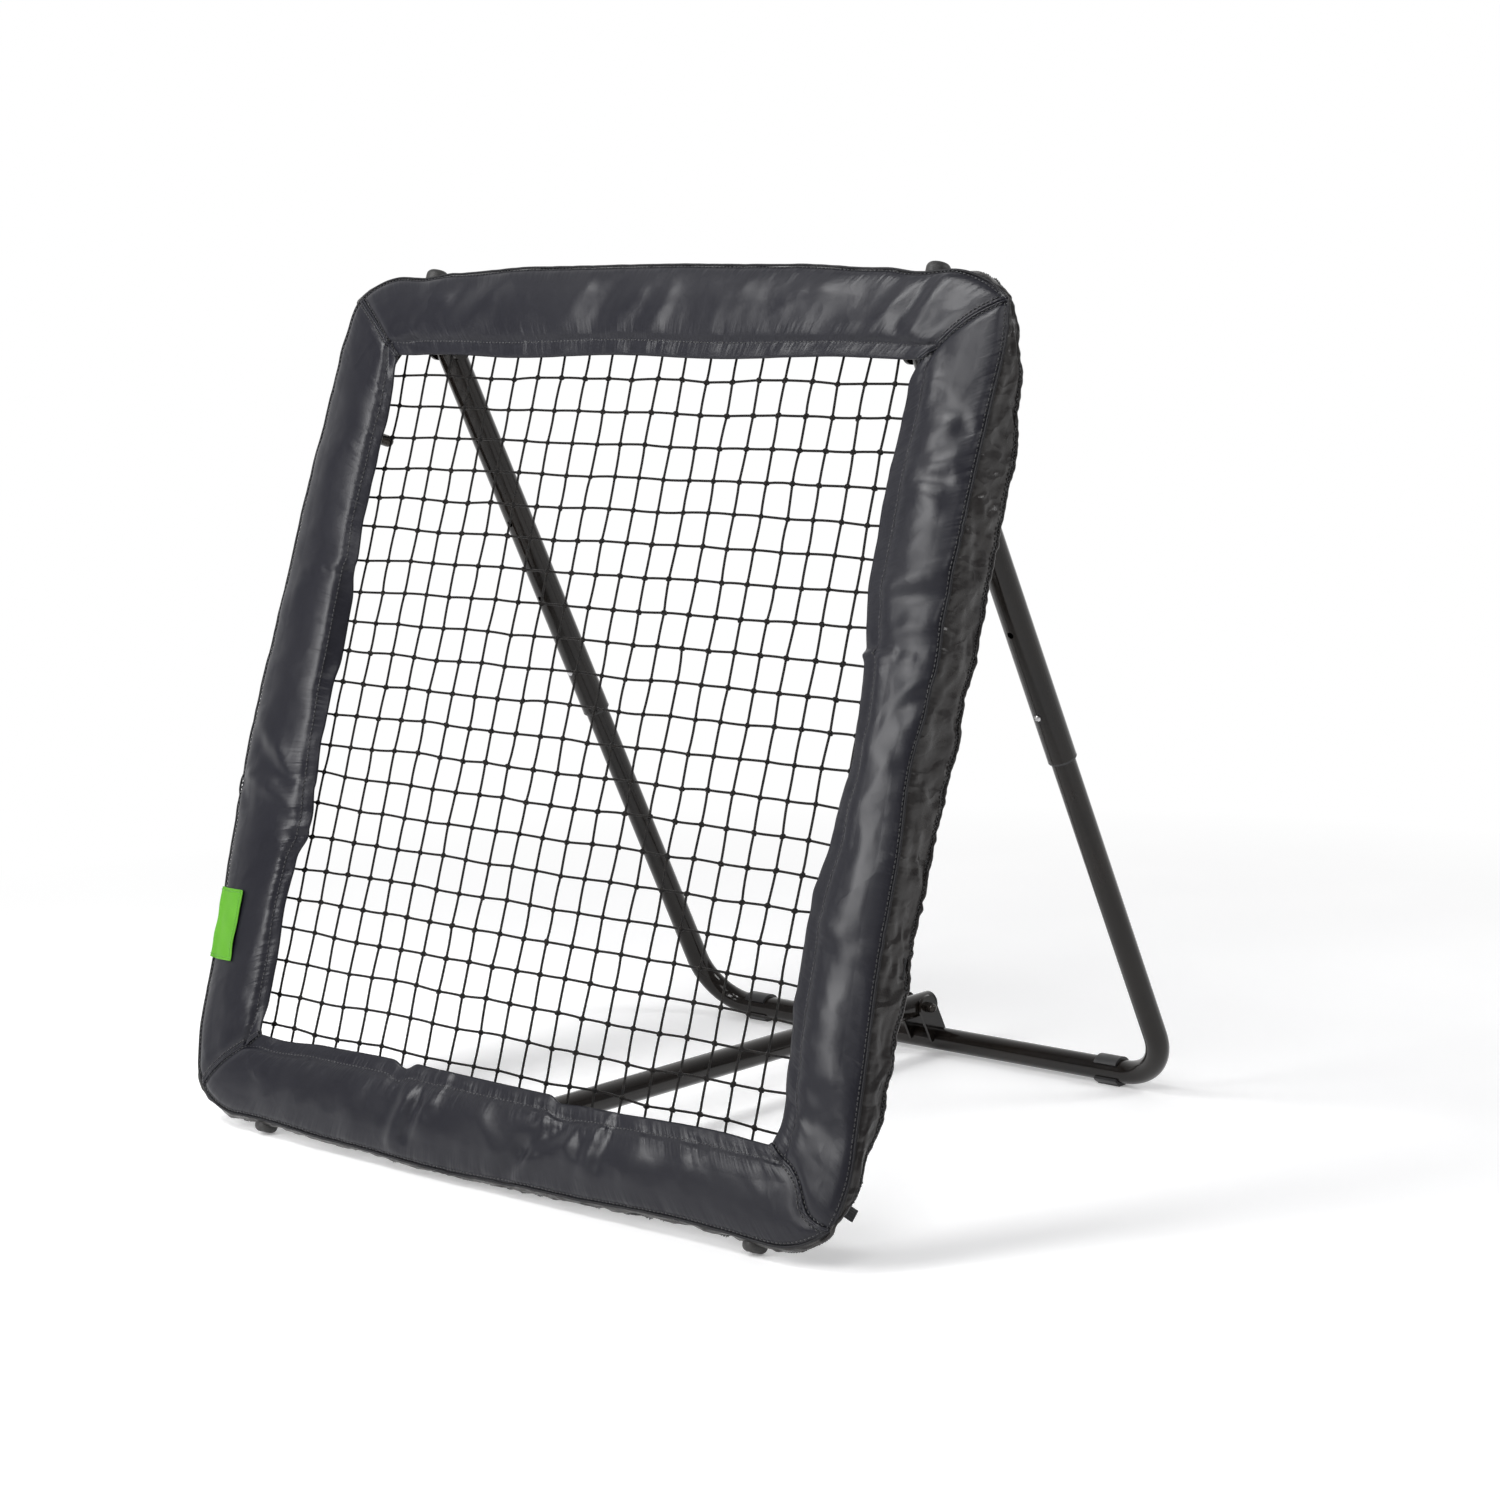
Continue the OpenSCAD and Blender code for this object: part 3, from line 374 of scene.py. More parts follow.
def puckers(paint, lines, reach, depth_mm):
    """Short folds across the sewn lines, given by their place across the cloth in mm."""
    across = paint.node("SeparateXYZ", Vector=paint.coords("UV")).outputs["Y"]
    near = 0.0
    for line in lines:
        off = paint.math("ABSOLUTE", paint.math("SUBTRACT", across, line * MM))
        near = paint.math("MAXIMUM", near, paint.fit(off, 1, 0, 0, reach * MM))
    folds = paint.noise(1.0, 2.5, stretch=(95, 9, 1), kind="UV")
    return paint.bump(paint.math("MULTIPLY", folds, near), depth_mm, 0.8)


def creases(paint, scale, depth_mm, strength, stretch=(1, 1, 1)):
    """Thin sharp ridges, as in cloth that has been folded up."""
    level = paint.noise(scale, 3, stretch)
    ridge = paint.math("ABSOLUTE", paint.math("SUBTRACT", level, 0.5))
    return paint.bump(paint.fit(ridge, 1, 0, 0, 0.07), depth_mm, strength)


def cover_cloth():
    p = plain("cover_cloth", (0.0115, 0.0115, 0.0165), 0.34, (0.0095, 0.0095, 0.0138),
              (7, 4, 0.8), (11, 5, 0.29, 0.38), Specular_IOR_Level=0.3, Sheen_Weight=0.02,
              Sheen_Roughness=0.4)
    p.tint(p.fit(p.noise(1400, 2), 0, 0.35), (0.018, 0.018, 0.024))
    weave(p, 1100, 0.016)
    puckers(p, (HEM_W, HEM_W + FRONT_SPAN), 26, 2.4)
    creases(p, 9, 0.8, 0.3)
    return p.bump(p.noise(150, 4), 0.10, 0.3).mat


def gusset_cloth():
    p = plain("gusset_cloth", (0.0115, 0.0100, 0.0098), 0.3, (0.0165, 0.0140, 0.0130),
              (9, 3, 1), (14, 5, 0.24, 0.36), Specular_IOR_Level=0.4)
    weave(p, 1100, 0.016)
    puckers(p, (HEM_W + FRONT_SPAN, HEM_W + FRONT_SPAN + GUSSET_SPAN), 22, 2.4)
    creases(p, 10, 2.2, 0.6, (0.7, 0.7, 1.3))
    creases(p, 24, 0.7, 0.35)
    return p.bump(p.noise(120, 4), 0.12, 0.3).mat


def thread(name, color, roughness, other, depth_mm):
    p = plain(name, color, roughness, other, (500, 2, 1), Sheen_Weight=0.3)
    return p.bump(p.waves(900, "DIAGONAL"), depth_mm).mat


def piping_cloth():
    p = plain("piping_cloth", (0.008, 0.008, 0.010), 0.6, (0.014, 0.014, 0.016), (60, 4, 1),
              Specular_IOR_Level=0.3)
    return weave(p, 1400, 0.02).bump(p.noise(140, 3), 0.5, 0.5).mat


def net_cord():
    p = plain("net_cord", (0.006, 0.005, 0.005), 0.55, (0.026, 0.021, 0.017),
              (220, 4, 1, 0.45, 0.7), (400, 3, 0.4, 0.65), Specular_IOR_Level=0.3)
    return p.bump(p.waves(95, "DIAGONAL"), 0.45, 0.9).mat


def elastic():
    p = Paint("elastic_cord", (0.012, 0.012, 0.013), 0.55, Sheen_Weight=0.2)
    p.tint(p.fit(p.waves(130, "DIAGONAL"), 0, 0.6), (0.05, 0.05, 0.054))
    return p.bump(p.waves(130, "DIAGONAL"), 0.3).mat


def webbing():
    p = plain("webbing", (0.014, 0.014, 0.015), 0.6, (0.035, 0.035, 0.038), (180, 3, 0.7),
              Sheen_Weight=0.3)
    return p.bump(p.math("MULTIPLY", p.waves(230, "X"), p.waves(110, "Y")), 0.35).mat


def tag_cloth():
    p = plain("woven_tag", (0.095, 0.33, 0.014), 0.6, (0.070, 0.27, 0.010), (30, 4, 0.7),
              Specular_IOR_Level=0.3)
    p.tint(p.fit(p.waves(140, "Y"), 0, 0.25), (0.16, 0.44, 0.05))
    return weave(p, 900, 0.06).mat


def seen_rays(tree, facing=1.0):
    """1 for rays from the camera and, where they face the backdrop, for reflected ones."""
    path = tree.node("LightPath").outputs
    mirror = tree.math("MAXIMUM", path["Is Glossy Ray"], path["Is Transmission Ray"])
    return tree.math("MAXIMUM", path["Is Camera Ray"], tree.math("MULTIPLY", mirror, facing))


def floor_white():
    """Matt white; further out the camera sees plain white, so that no horizon shows."""
    p = plain("studio_floor", (0.95, 0.95, 0.95), 0.6, (0.93, 0.93, 0.93), (2, 3, 0.3),
              (5, 3, 0.5, 0.7), ((40, 3, 0.2, 0.2),))
    seen = seen_rays(p)
    far = p.node("VectorMath", operation="LENGTH", Vector=p.coords())
    fade = p.fit(far.outputs["Value"], 0, 1, *FLOOR_FADE)
    fill = p.node("Emission", Strength=p.math("MULTIPLY", seen, FLOOR_FILL))
    near, blend = p.node("AddShader"), p.node("MixShader", Fac=p.math("MULTIPLY", fade, seen))
    for source, socket in ((p.bsdf, near.inputs[0]), (fill, near.inputs[1]),
                           (near, blend.inputs[1]),
                           (p.node("Emission", Strength=1.0), blend.inputs[2]),
                           (blend, p.tree.nodes["Material Output"].inputs["Surface"])):
        p.link(source.outputs[0], socket)
    return p.mat


FINISHES = {
    "black_paint": plain("powder_coat", (0.0075, 0.0065, 0.0058), 0.2, (0.013, 0.01, 0.008),
                         (9, 4, 1), (60, 5, 0.1, 0.2), ((420, 2, 0.03, 0.5), (35, 4, 0.1, 0.25)),
                         Specular_IOR_Level=0.27, Coat_Weight=0.12, Coat_Roughness=0.08).mat,
    "zinc_steel": plain("zinc_plating", (0.6, 0.6, 0.62), 0.3, (0.42, 0.41, 0.4), (120, 4, 1),
                        (300, 4, 0.2, 0.45), ((900, 3, 0.04, 0.6),), Metallic=1.0).mat,
    "black_steel": plain("black_oxide", (0.02, 0.019, 0.018), 0.3, (0.045, 0.036, 0.03),
                         (70, 4, 1), (200, 4, 0.18, 0.4), ((700, 2, 0.05, 0.5),),
                         Metallic=0.6).mat,
    "foot_rubber": plain("foot_rubber", (0.017, 0.017, 0.017), 0.55, (0.045, 0.043, 0.041),
                         (55, 5, 0.7), (90, 4, 0.42, 0.7), ((800, 3, 0.08, 0.6),)).mat,
    "black_plastic": plain("moulded_plastic", (0.018, 0.018, 0.019), 0.4,
                           (0.028, 0.027, 0.027), (25, 3, 0.6), (45, 4, 0.32, 0.5),
                           ((1300, 2, 0.06, 0.6),)).mat,
}
cloth_mat, gusset_mat = cover_cloth(), gusset_cloth()
thread_mat = thread("sewing_thread", (0.012, 0.012, 0.013), 0.55, (0.040, 0.040, 0.044), 0.12)


def paint_cad_nodes():
    for part in frame["record"]["subparts"]:
        finish = FINISHES.get(part["material_slot"])
        if finish is not None:
            used = nodes[part["node"]].data.materials
            used.clear()
            used.append(finish)


# ---- snap buttons

def build_snap_buttons():
    """The buttons, each copied into an object of its own in place of the CAD part."""
    for node, tube in (("leg_button_left", "lower_frame"), ("leg_button_right", "lower_frame"),
                       ("strut_button", "strut_rear")):
        mesh = nodes[node].data.copy()
        obj = show(node + "_spring", mesh)
        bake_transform(obj)
        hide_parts(node)


# ---- the padded cover

# Wander of the opening's edge and of the outer seam, and depth of the gusset behind the
# tubes' axes, in mm by side. On the right and the left t runs from the bottom at -1 to the
# top at 1, on the top and the bottom from the right at -1 to the left at 1.
RIM_WANDER = {
    "right": [(-1, 0), (-0.95, 6), (-0.79, -2), (-0.62, -11), (-0.38, -13), (-0.2, 0), (0, 8),
              (0.22, 1), (0.25, -7), (0.45, -17), (0.65, -18), (0.93, -12), (1, 0)],
    "left": [(-1, 0), (-0.95, 3), (-0.8, 4), (-0.63, 10), (-0.49, 6), (-0.42, -7), (-0.37, -9),
             (-0.25, -1), (-0.12, 6), (0.02, 10), (0.11, 10), (0.27, 12), (0.35, 11), (0.39, 6),
             (0.5, 11), (0.6, 9), (0.7, 6), (0.84, 2), (0.94, 4), (1, 0)],
    "top": [(-1, 0), (-0.7, 3), (-0.3, -1), (0.1, 3), (0.5, -2), (0.8, 2), (1, 0)],
    "bottom": [(-1, 0), (-0.8, -3), (-0.35, 2), (-0.24, 5), (-0.2, -3), (0.2, -4), (0.33, -5),
               (0.37, 4), (0.43, -5), (0.7, -3), (0.9, 2), (1, 0)],
}
SEAM_WANDER = {
    "right": [(-1, 0), (-0.9, -2), (-0.7, 2), (-0.4, -2), (-0.25, -1), (-0.03, -8), (0.1, -1),
              (0.2, 3), (0.3, 0), (0.68, 2), (0.92, -3), (1, 0)],
    "left": [(-1, 0), (-0.9, -9), (-0.8, -4), (-0.6, -1), (-0.54, 2), (-0.44, 7), (-0.36, 9),
             (-0.29, 13), (-0.18, 15), (0, 13), (0.14, 8), (0.3, 4), (0.43, 3), (0.55, -1),
             (0.7, -8), (0.84, -15), (0.91, -20), (0.96, -13), (1, 0)],
    "top": [(-1, 0), (-0.92, -3), (-0.86, -2), (-0.76, -5), (-0.66, 1), (-0.4, 7), (0, 10),
            (0.4, 9), (0.68, 2), (0.78, -5), (0.88, -3), (1, 0)],
    "bottom": [(-1, 0), (-0.6, -5), (-0.2, 1), (0.15, 6), (0.5, 2), (0.8, -4), (1, 0)],
}
GUSSET_DEPTH = {
    "side": [(-1, -18), (-0.86, -5), (-0.735, 18), (-0.6, 22), (-0.44, 34), (-0.38, 29),
             (-0.24, 35), (-0.15, 37), (-0.08, 43), (0.03, 48), (0.154, 37), (0.275, 46),
             (0.42, 42), (0.58, 39), (0.654, 41), (0.8, 23), (0.907, -2), (1, -18)],
    "top": [(-1, -18), (-0.9, 0), (-0.78, 12), (-0.6, 26), (-0.3, 20), (0, 26), (0.4, 20),
            (0.7, 26), (0.8, 12), (0.9, 0), (1, -18)],
    "bottom": [(-1, -18), (-0.9, -6), (-0.5, 6), (0, 0), (0.5, 7), (0.9, -6), (1, -18)],
}
GUSSET_FULLNESS = {"right": 1.0, "left": 1.0, "top": 0.6, "bottom": 1.6}
# Folds seen on the front, across and up the frame from the middle of the bottom tube: both
# ends, width and height
FOLDS = [
    (474, 727, 567, 757, 17, 4), (470, 708, 545, 728, 12, -2.5), (495, 676, 544, 694, 13, 3),
    (470, 668, 500, 690, 9, -2), (562, 618, 526, 589, 12, -3), (570, 632, 535, 612, 10, 2.5),
    (474, 981, 528, 932, 18, 3), (499, 955, 538, 920, 14, -4), (477, 865, 534, 879, 14, 3),
    (475, 846, 522, 829, 12, 2.5), (480, 855, 530, 853, 10, -2.5), (500, 905, 548, 935, 13, 2),
    (466, 560, 520, 520, 16, 2), (480, 470, 545, 500, 21, 1.5), (470, 330, 530, 310, 17, 2),
    (486, 300, 540, 320, 13, -1.5), (478, 190, 545, 150, 21, 2), (492, 120, 540, 95, 16, -1.5),
    (-326, 1040, -271, 1092, 20, 2.5), (-407, 1092, -374, 1068, 17, 2.5),
    (-360, 1060, -330, 1095, 16, -2.5), (-138, 1040, -115, 1088, 18, 2.5),
    (-92, 1036, -57, 1086, 16, -2), (-40, 1036, -16, 1080, 20, 2), (12, 1031, 36, 1080, 16, 2.5),
    (110, 1040, 160, 1086, 23, 2), (236, 1066, 290, 1088, 16, 2.5), (300, 1040, 345, 1075, 20, -2),
    (443, 1035, 471, 1095, 14, 3), (420, 1040, 440, 1080, 12, -2.5), (400, 1050, 418, 1088, 12, 2),
    (-570, 655, -480, 695, 26, 2.5), (-571, 419, -475, 381, 12, 4), (-573, 486, -478, 440, 14, 3),
    (-515, 453, -460, 385, 10, 3), (-560, 450, -490, 410, 12, -3), (-568, 560, -500, 540, 21, 2),
    (-560, 860, -480, 880, 26, 2), (-555, 960, -500, 930, 21, 1.5), (-560, 320, -490, 330, 23, 2),
    (-545, 120, -490, 90, 23, 1.5), (-146, 40, -160, -20, 12, 4), (-127, 42, -136, -10, 9, -4),
    (-108, 40, -112, 5, 12, 2.5), (-15, 37, 20, 0, 16, 2.5), (36, -42, 69, 7, 12, -4.5),
    (69, 7, 131, 42, 13, -4), (54, -38, 86, 0, 13, 4), (86, 0, 140, 30, 13, 2.5),
    (191, 49, 178, 5, 12, 4), (207, 46, 200, 10, 10, -2.5), (158, 46, 150, 15, 12, 2.5),
    (250, 40, 262, -20, 21, 2), (330, 42, 318, -10, 23, 1.5), (-260, 36, -240, -20, 23, 2),
    (-350, 40, -365, -15, 21, 1.5), (-420, 30, -410, -10, 17, 1.5), (-64, -50, -56, -15, 10, -2.5),
    (49, -52, 52, -20, 9, -2.5), (150, -52, 156, -22, 10, -2.5), (300, -50, 306, -25, 10, -2),
]
# Places where the straps make the cloth lap over itself: from the opening inwards, how far
# the lap reaches past its ends, and its height, whose sign says which way it laps
LAPS = [
    (426, 655, 540, 650, 12, -6), (-440, 712, -545, 694, 12, -3.5), (-428, 352, -505, 338, 12, -3),
    (-428, 418, -500, 408, 12, 2.5), (-108, 80, -98, 22, 12, 2), (-84, 80, -92, 34, 12, -1.6),
    (158, 80, 170, 28, 12, 2), (200, 80, 196, 38, 12, -2.2),
]
# Where the cloth is gathered: turn, row as a share of the front (over 1 on the gusset),
# radius of the folds, their depth and their number
PINCHES = [
    (3.6, 0.03, 40, 1.3, 9), (3.86, 0.05, 30, 1.1, 7), (0.74, 1.35, 58, 3, 8),
    (0.06, 0.05, 34, 1.4, 7), (0.96, 0.04, 34, 1.6, 7), (1.05, 0.05, 40, 1.5, 8),
    (1.95, 0.05, 36, 1.4, 7), (2.63, 0.96, 44, 1.6, 7), (2.95, 0.06, 36, 1.4, 8),
    (0.3, 1.5, 52, 2.4, 8), (0.57, 1.2, 46, 2.6, 7), (3.5, 0.97, 30, 1.4, 7),
]
SIDES = ("right", "top", "left", "bottom")


def side_sizes(side):
    """Half opening across the side and along it, and half the outer seam's size likewise."""
    a = SIDES.index(side) % 2
    return OPEN_HALF[a], OPEN_HALF[1 - a], PAD_HALF[a], PAD_HALF[1 - a]


def hem_share(side, t):
    """Flap's width as a share of the way to the outer seam; all are as wide at a mitre."""
    mid = HEM_MID[side]
    half_open, _, reach, _ = side_sizes(side)
    width = wander(((-1, HEM_W), (-0.94, mid), (0.94, mid), (1, HEM_W)), t)
    return width / (reach - half_open)


def seam_line(side, t, off=0.0):
    """Outer seam at t as (out, along), pushed outwards by off."""
    t = np.asarray(t, float)
    _, _, reach, half_len = side_sizes(side)
    reach -= PAD_DRAW.get(side, 0) * (1 - t ** 4)
    reach += wander(SEAM_WANDER[side], t) * (1 - t ** 8)
    half = half_len - PAD_CORNER
    a = np.maximum(0, np.abs(t) - ARC_T) / (1 - ARC_T) * pi / 4
    r = PAD_CORNER + off
    straight = np.abs(t) <= ARC_T
    out = np.where(straight, reach + off, reach - PAD_CORNER + r * np.cos(a))
    along = np.where(straight, t / ARC_T * half, np.sign(t) * (half + r * np.sin(a)))
    # The pull of the two corners, turned into the side's own directions
    k = SIDES.index(side)
    near = np.exp(-(1 - np.abs(t)) / 0.05)
    first, second = (k, (k + 1) % 4) if k < 2 else ((k + 1) % 4, k)
    pull = np.where((t > 0)[..., None], CORNER_PULL[second], CORNER_PULL[first]) * near[..., None]
    px, pz = pull[..., 0], pull[..., 1]
    push = {"right": (px, pz), "top": (pz, -px), "left": (-px, pz), "bottom": (-pz, -px)}[side]
    return out + push[0], along + push[1]


def place_side(side, out, y, along):
    """A point given outwards from the opening's middle and along the side."""
    x, z = {"right": (out, along), "top": (-along, out),
            "left": (-out, along), "bottom": (-along, -out)}[side]
    return np.stack(np.broadcast_arrays(x, y, z), -1)


def panel_line(side, t, q, y, rim=0.0):
    """Line along a panel at share q from the opening, whose edge rim moves, to the seam."""
    half_open, half_length, _, _ = side_sizes(side)
    seam_out, seam_along = seam_line(side, t)
    out, along = half_open + rim, t * half_length
    return place_side(side, out + (seam_out - out) * q, y, along + (seam_along - along) * q)


def cover_section(side, t):
    """The closed section of the cover at each t: flap, front, gusset and a hidden back."""
    depth = wander(GUSSET_DEPTH["side" if side in ("right", "left") else side], t)
    rim = wander(RIM_WANDER[side], t)
    stitch = hem_share(side, t)
    columns = []
    for s in np.arange(FLAP_ROWS) / FLAP_ROWS:
        y = -HEM_Y + wander(FLAP_DEPTH[side], t) * (1 - 0.6 * s)
        columns.append(panel_line(side, t, s * stitch, y, rim))
    for i in range(FRONT_ROWS + 1):
        s = i / FRONT_ROWS
        q = stitch + (1 - stitch) * s - 0.06 * exp(-s / 0.09) * min(1, s * 14)
        puff = FRONT_PUFF * sin(pi * s) ** 0.5 if 0 < s < 1 else 0.0
        y = -(HEM_Y + (SEAM_Y - HEM_Y) * s) - puff + 1.5 * (i == 0)
        columns.append(panel_line(side, t, q, y, rim))
    for s in np.arange(1, GUSSET_ROWS + 1) / GUSSET_ROWS:
        swell = GUSSET_SWELL * GUSSET_FULLNESS[side] * sin(2.6 * s)
        out, along = seam_line(side, t, swell)
        columns.append(place_side(side, out, -SEAM_Y + s * (SEAM_Y + depth), along))
    first, last = columns[0], columns[-1]
    for q in np.arange(1, BACK_ROWS + 1) / (BACK_ROWS + 1):
        columns.append(last + (first - last) * q + np.array([0, 26 * q * (1 - q), 0]))
    return np.stack(columns, 1)


def cover_grid():
    """Ring of sections, once round the opening: shape (RING, rows, 3)."""
    t = -1 + 2 * np.arange(SIDE_COLUMNS) / SIDE_COLUMNS
    return np.concatenate([cover_section(side, t if k < 2 else -t)
                           for k, side in enumerate(SIDES)])


def grid_normals(grid):
    """Outward normals of a ring grid."""
    along = np.roll(grid, -1, 0) - np.roll(grid, 1, 0)
    return unit(np.cross(np.gradient(grid, axis=1), along))


def mitre_row(row):
    """How far each mitre seam bows from the corner's diagonal, in columns, along the front."""
    s = pi * np.clip((row - FLAP_ROWS) / FRONT_ROWS, 0, 1)
    once = np.sin(s)
    return 1.25 * np.sin(2 * s) - 0.4 * once, 0.6 * once, -0.4 * once, -0.5 * once


def inflate(grid):
    """Blender's cloth: the sewn lines stay put and the panels between them swell."""
    rows = grid.shape[1]
    start = to_row(grid.reshape(-1, 3))
    obj = mesh_piece("cover_cloth_run", start,
                     grid_faces(RING, rows, wrap_rows=True, wrap_cols=True, flip=True))
    sewn = np.ones((RING, rows))
    sewn[:, 0] = RIM_HOLD
    sewn[:, FLAP_ROWS + 1:SEAM_ROW] = sewn[:, SEAM_ROW + 1:HEM_ROW] = 0
    for row in range(FLAP_ROWS, SEAM_ROW + 1):
        for k, bow in enumerate(mitre_row(row)):
            sewn[int(round(k * SIDE_COLUMNS + float(bow))) % RING, row] = 1
    pin = obj.vertex_groups.new(name="sewn")
    for weight in (RIM_HOLD, 1.0):
        pin.add(np.flatnonzero(sewn == weight).tolist(), weight, "REPLACE")
    cloth = modifier(obj, "CLOTH")
    for key, value in CLOTH_SETTINGS.items():
        setattr(cloth.settings, key, value)
    cloth.settings.effector_weights.gravity = 0
    cloth.collision_settings.use_collision = False
    scene = bpy.context.scene
    for f in range(1, CLOTH_FRAMES + 1):
        scene.frame_set(f)
    shaped = obj.evaluated_get(bpy.context.evaluated_depsgraph_get())
    moved = np.zeros(start.size)
    shaped.data.vertices.foreach_get("co", moved)
    step = (moved.reshape(-1, 3) - start) / MM
    scene.frame_set(1)
    mesh = obj.data
    bpy.data.objects.remove(obj)
    bpy.data.meshes.remove(mesh)
    size = np.linalg.norm(step, axis=1, keepdims=True)
    step *= np.minimum(1, MOST_SWELL / np.maximum(size, 1e-6))
    c, s = cos(LEAN), sin(LEAN)
    local = np.stack([step[:, 0], step[:, 1] * c - step[:, 2] * s,
                      step[:, 1] * s + step[:, 2] * c], -1)
    return grid + local.reshape(grid.shape)


def listed_folds(grid):
    """Height of FOLDS and LAPS at every point of the front."""
    x, z = grid[..., 0], grid[..., 2] + FRAME_H / 2
    out = np.zeros(x.shape)
    strokes = [(*fold, False) for fold in FOLDS] + [(*lap, True) for lap in LAPS]
    for x0, z0, x1, z1, width, height, laps in strokes:
        length = hypot(x1 - x0, z1 - z0)
        run_x, run_z = (x1 - x0) / length, (z1 - z0) / length
        along = (x - x0) * run_x + (z - z0) * run_z
        off = (z - z0) * run_x - (x - x0) * run_z
        beyond = np.maximum(0, np.abs(along - length / 2) - length / 2)
        ends = np.exp(-(beyond / width) ** 2)
        if laps:
            fade = np.clip(1.15 - along / length, 0, 1)
            out += height * ends * fade * np.sign(off) * np.exp(-np.abs(off) / 14)
        else:
            wave = off + 3.0 * np.sin(along / 19 + x0)
            out += height * ends * np.exp(-(wave / width) ** 2)
    out[:, SEAM_ROW:] = 0
    return out


def dent(p, size):
    return noise(p / size)


def ridge(p, size, sharpness):
    """A fold of height 1 that is narrower, the sharper it is."""
    return max(0.0, 1.0 - abs(noise(p / size)) * sharpness)


def wrinkles(grid):
    """Small folds: puckers along the sewn lines, soft dents, gathers and a creased gusset."""
    normals = grid_normals(grid)
    steps = np.linalg.norm(np.roll(grid, -1, 0) - grid, axis=2)[:, SEAM_ROW]
    round_mm = np.concatenate([[0], np.cumsum(steps)[:-1]])
    radius = float(steps.sum()) / (2 * pi)
    out = listed_folds(grid)
    front_w = PAD_HALF[0] - OPEN_HALF[0] - HEM_W
    for j, i in np.ndindex(RING, HEM_ROW + 1):
        a = round_mm[j] / radius
        p = Vector((radius * cos(a), radius * sin(a), 0))
        if i < FLAP_ROWS:
            p.z = 7.0 * i
            out[j, i] += 1.5 * dent(p, 34) + 0.8 * dent(p, 17)
        elif i <= SEAM_ROW:
            s = (i - FLAP_ROWS) / FRONT_ROWS
            across = s * front_w
            p.z = across * 0.3
            near_hem = exp(-across / 22) * min(1, 3 * s + 0.2)
            near_seam = exp(-(front_w - across) / 20) * min(1, 3 - 3 * s + 0.2)
            out[j, i] += 3.0 * dent(p, 19) * near_hem + 2.8 * dent(p, 17) * near_seam
            p.z = across
            dents = 2.4 * dent(p, 95)
            p.z = across * 1.7
            out[j, i] += (dents + 0.6 * ridge(p, 60, 6)) * sin(pi * s)
        else:
            s = (i - SEAM_ROW) / GUSSET_ROWS
            p.z = 40 + s * 45
            folds = 3.6 * dent(p, 52) + 2.6 * ridge(p, 36, 4.5) - 1.5
            folds += 2.4 * ridge(p + Vector((40 * s, 0, 90)), 24, 5)
            out[j, i] += min(1, 2.5 * s) * folds + 1.4 * dent(p, 17)
    out += gathers(grid)
    return grid + normals * out[..., None]


def gathers(grid):
    """Radial folds round each place where the cloth is pinched."""
    out = np.zeros(grid.shape[:2])
    rows = np.arange(grid.shape[1])
    for turn, share, radius, depth, folds in PINCHES:
        j0 = int(turn * SIDE_COLUMNS)
        row = share * FRONT_ROWS + FLAP_ROWS if share <= 1 else (
            SEAM_ROW + (share - 1) * GUSSET_ROWS)
        centre = grid[j0 % RING, int(round(row))]
        same = (rows >= FLAP_ROWS) & (rows <= HEM_ROW) & ((rows <= SEAM_ROW) == (share <= 1))
        for dj in range(-14, 15):
            j = (j0 + dj) % RING
            dist = np.linalg.norm(grid[j] - centre, axis=1)
            angle = np.arctan2(dj * 7.0, (rows - row) * 7.0 + 1e-3)
            fade = np.exp(-1.6 * (dist / radius) ** 2) * np.minimum(1, dist / 9 + 0.15)
            out[j] += same * (depth * fade * np.cos(folds * angle)
                              - 0.7 * depth * np.exp(-(dist / 13) ** 2))
    return out


def sink_mitres(grid):
    """The cloth dips where the panels are sewn together at the corners and along the seams."""
    normals = grid_normals(grid)
    out = np.zeros(grid.shape[:2])
    for row in range(FLAP_ROWS, SEAM_ROW + 1):
        edge = min(row - FLAP_ROWS, SEAM_ROW - row)
        for k, bow in enumerate(mitre_row(row)):
            centre = k * SIDE_COLUMNS + float(bow)
            for j in int(round(centre)) + np.arange(-9, 10):
                off = (j - centre) * 6.6
                out[j % RING, row] -= MITRE_DIP * exp(-(off / 8) ** 2) * min(1, 0.3 + edge / 2)
    out[:, SEAM_ROW] -= SEAM_DIP
    out[:, FLAP_ROWS] -= STITCH_DIP
    out[:, 1:FLAP_ROWS] += FLAP_RISE
    return grid + normals * out[..., None]


class Surface:
    """The finished cloth, sampled anywhere on its grid."""

    def __init__(self, grid):
        self.grid, self.normals = grid, grid_normals(grid)

    def at(self, turn, row, lift=0.0):
        j = np.asarray(turn, float) * SIDE_COLUMNS
        row = np.clip(np.asarray(row, float), 0, HEM_ROW)
        j0 = np.floor(j).astype(int)
        i0 = np.minimum(np.floor(row).astype(int), HEM_ROW - 1)
        u, v = (j - j0)[..., None], (row - i0)[..., None]
        j0, j1 = j0 % RING, (j0 + 1) % RING

        def mix(g):
            low = g[j0, i0] * (1 - u) + g[j1, i0] * u
            high = g[j0, i0 + 1] * (1 - u) + g[j1, i0 + 1] * u
            return low * (1 - v) + high * v

        normal = unit(mix(self.normals))
        return mix(self.grid) + normal * lift, normal


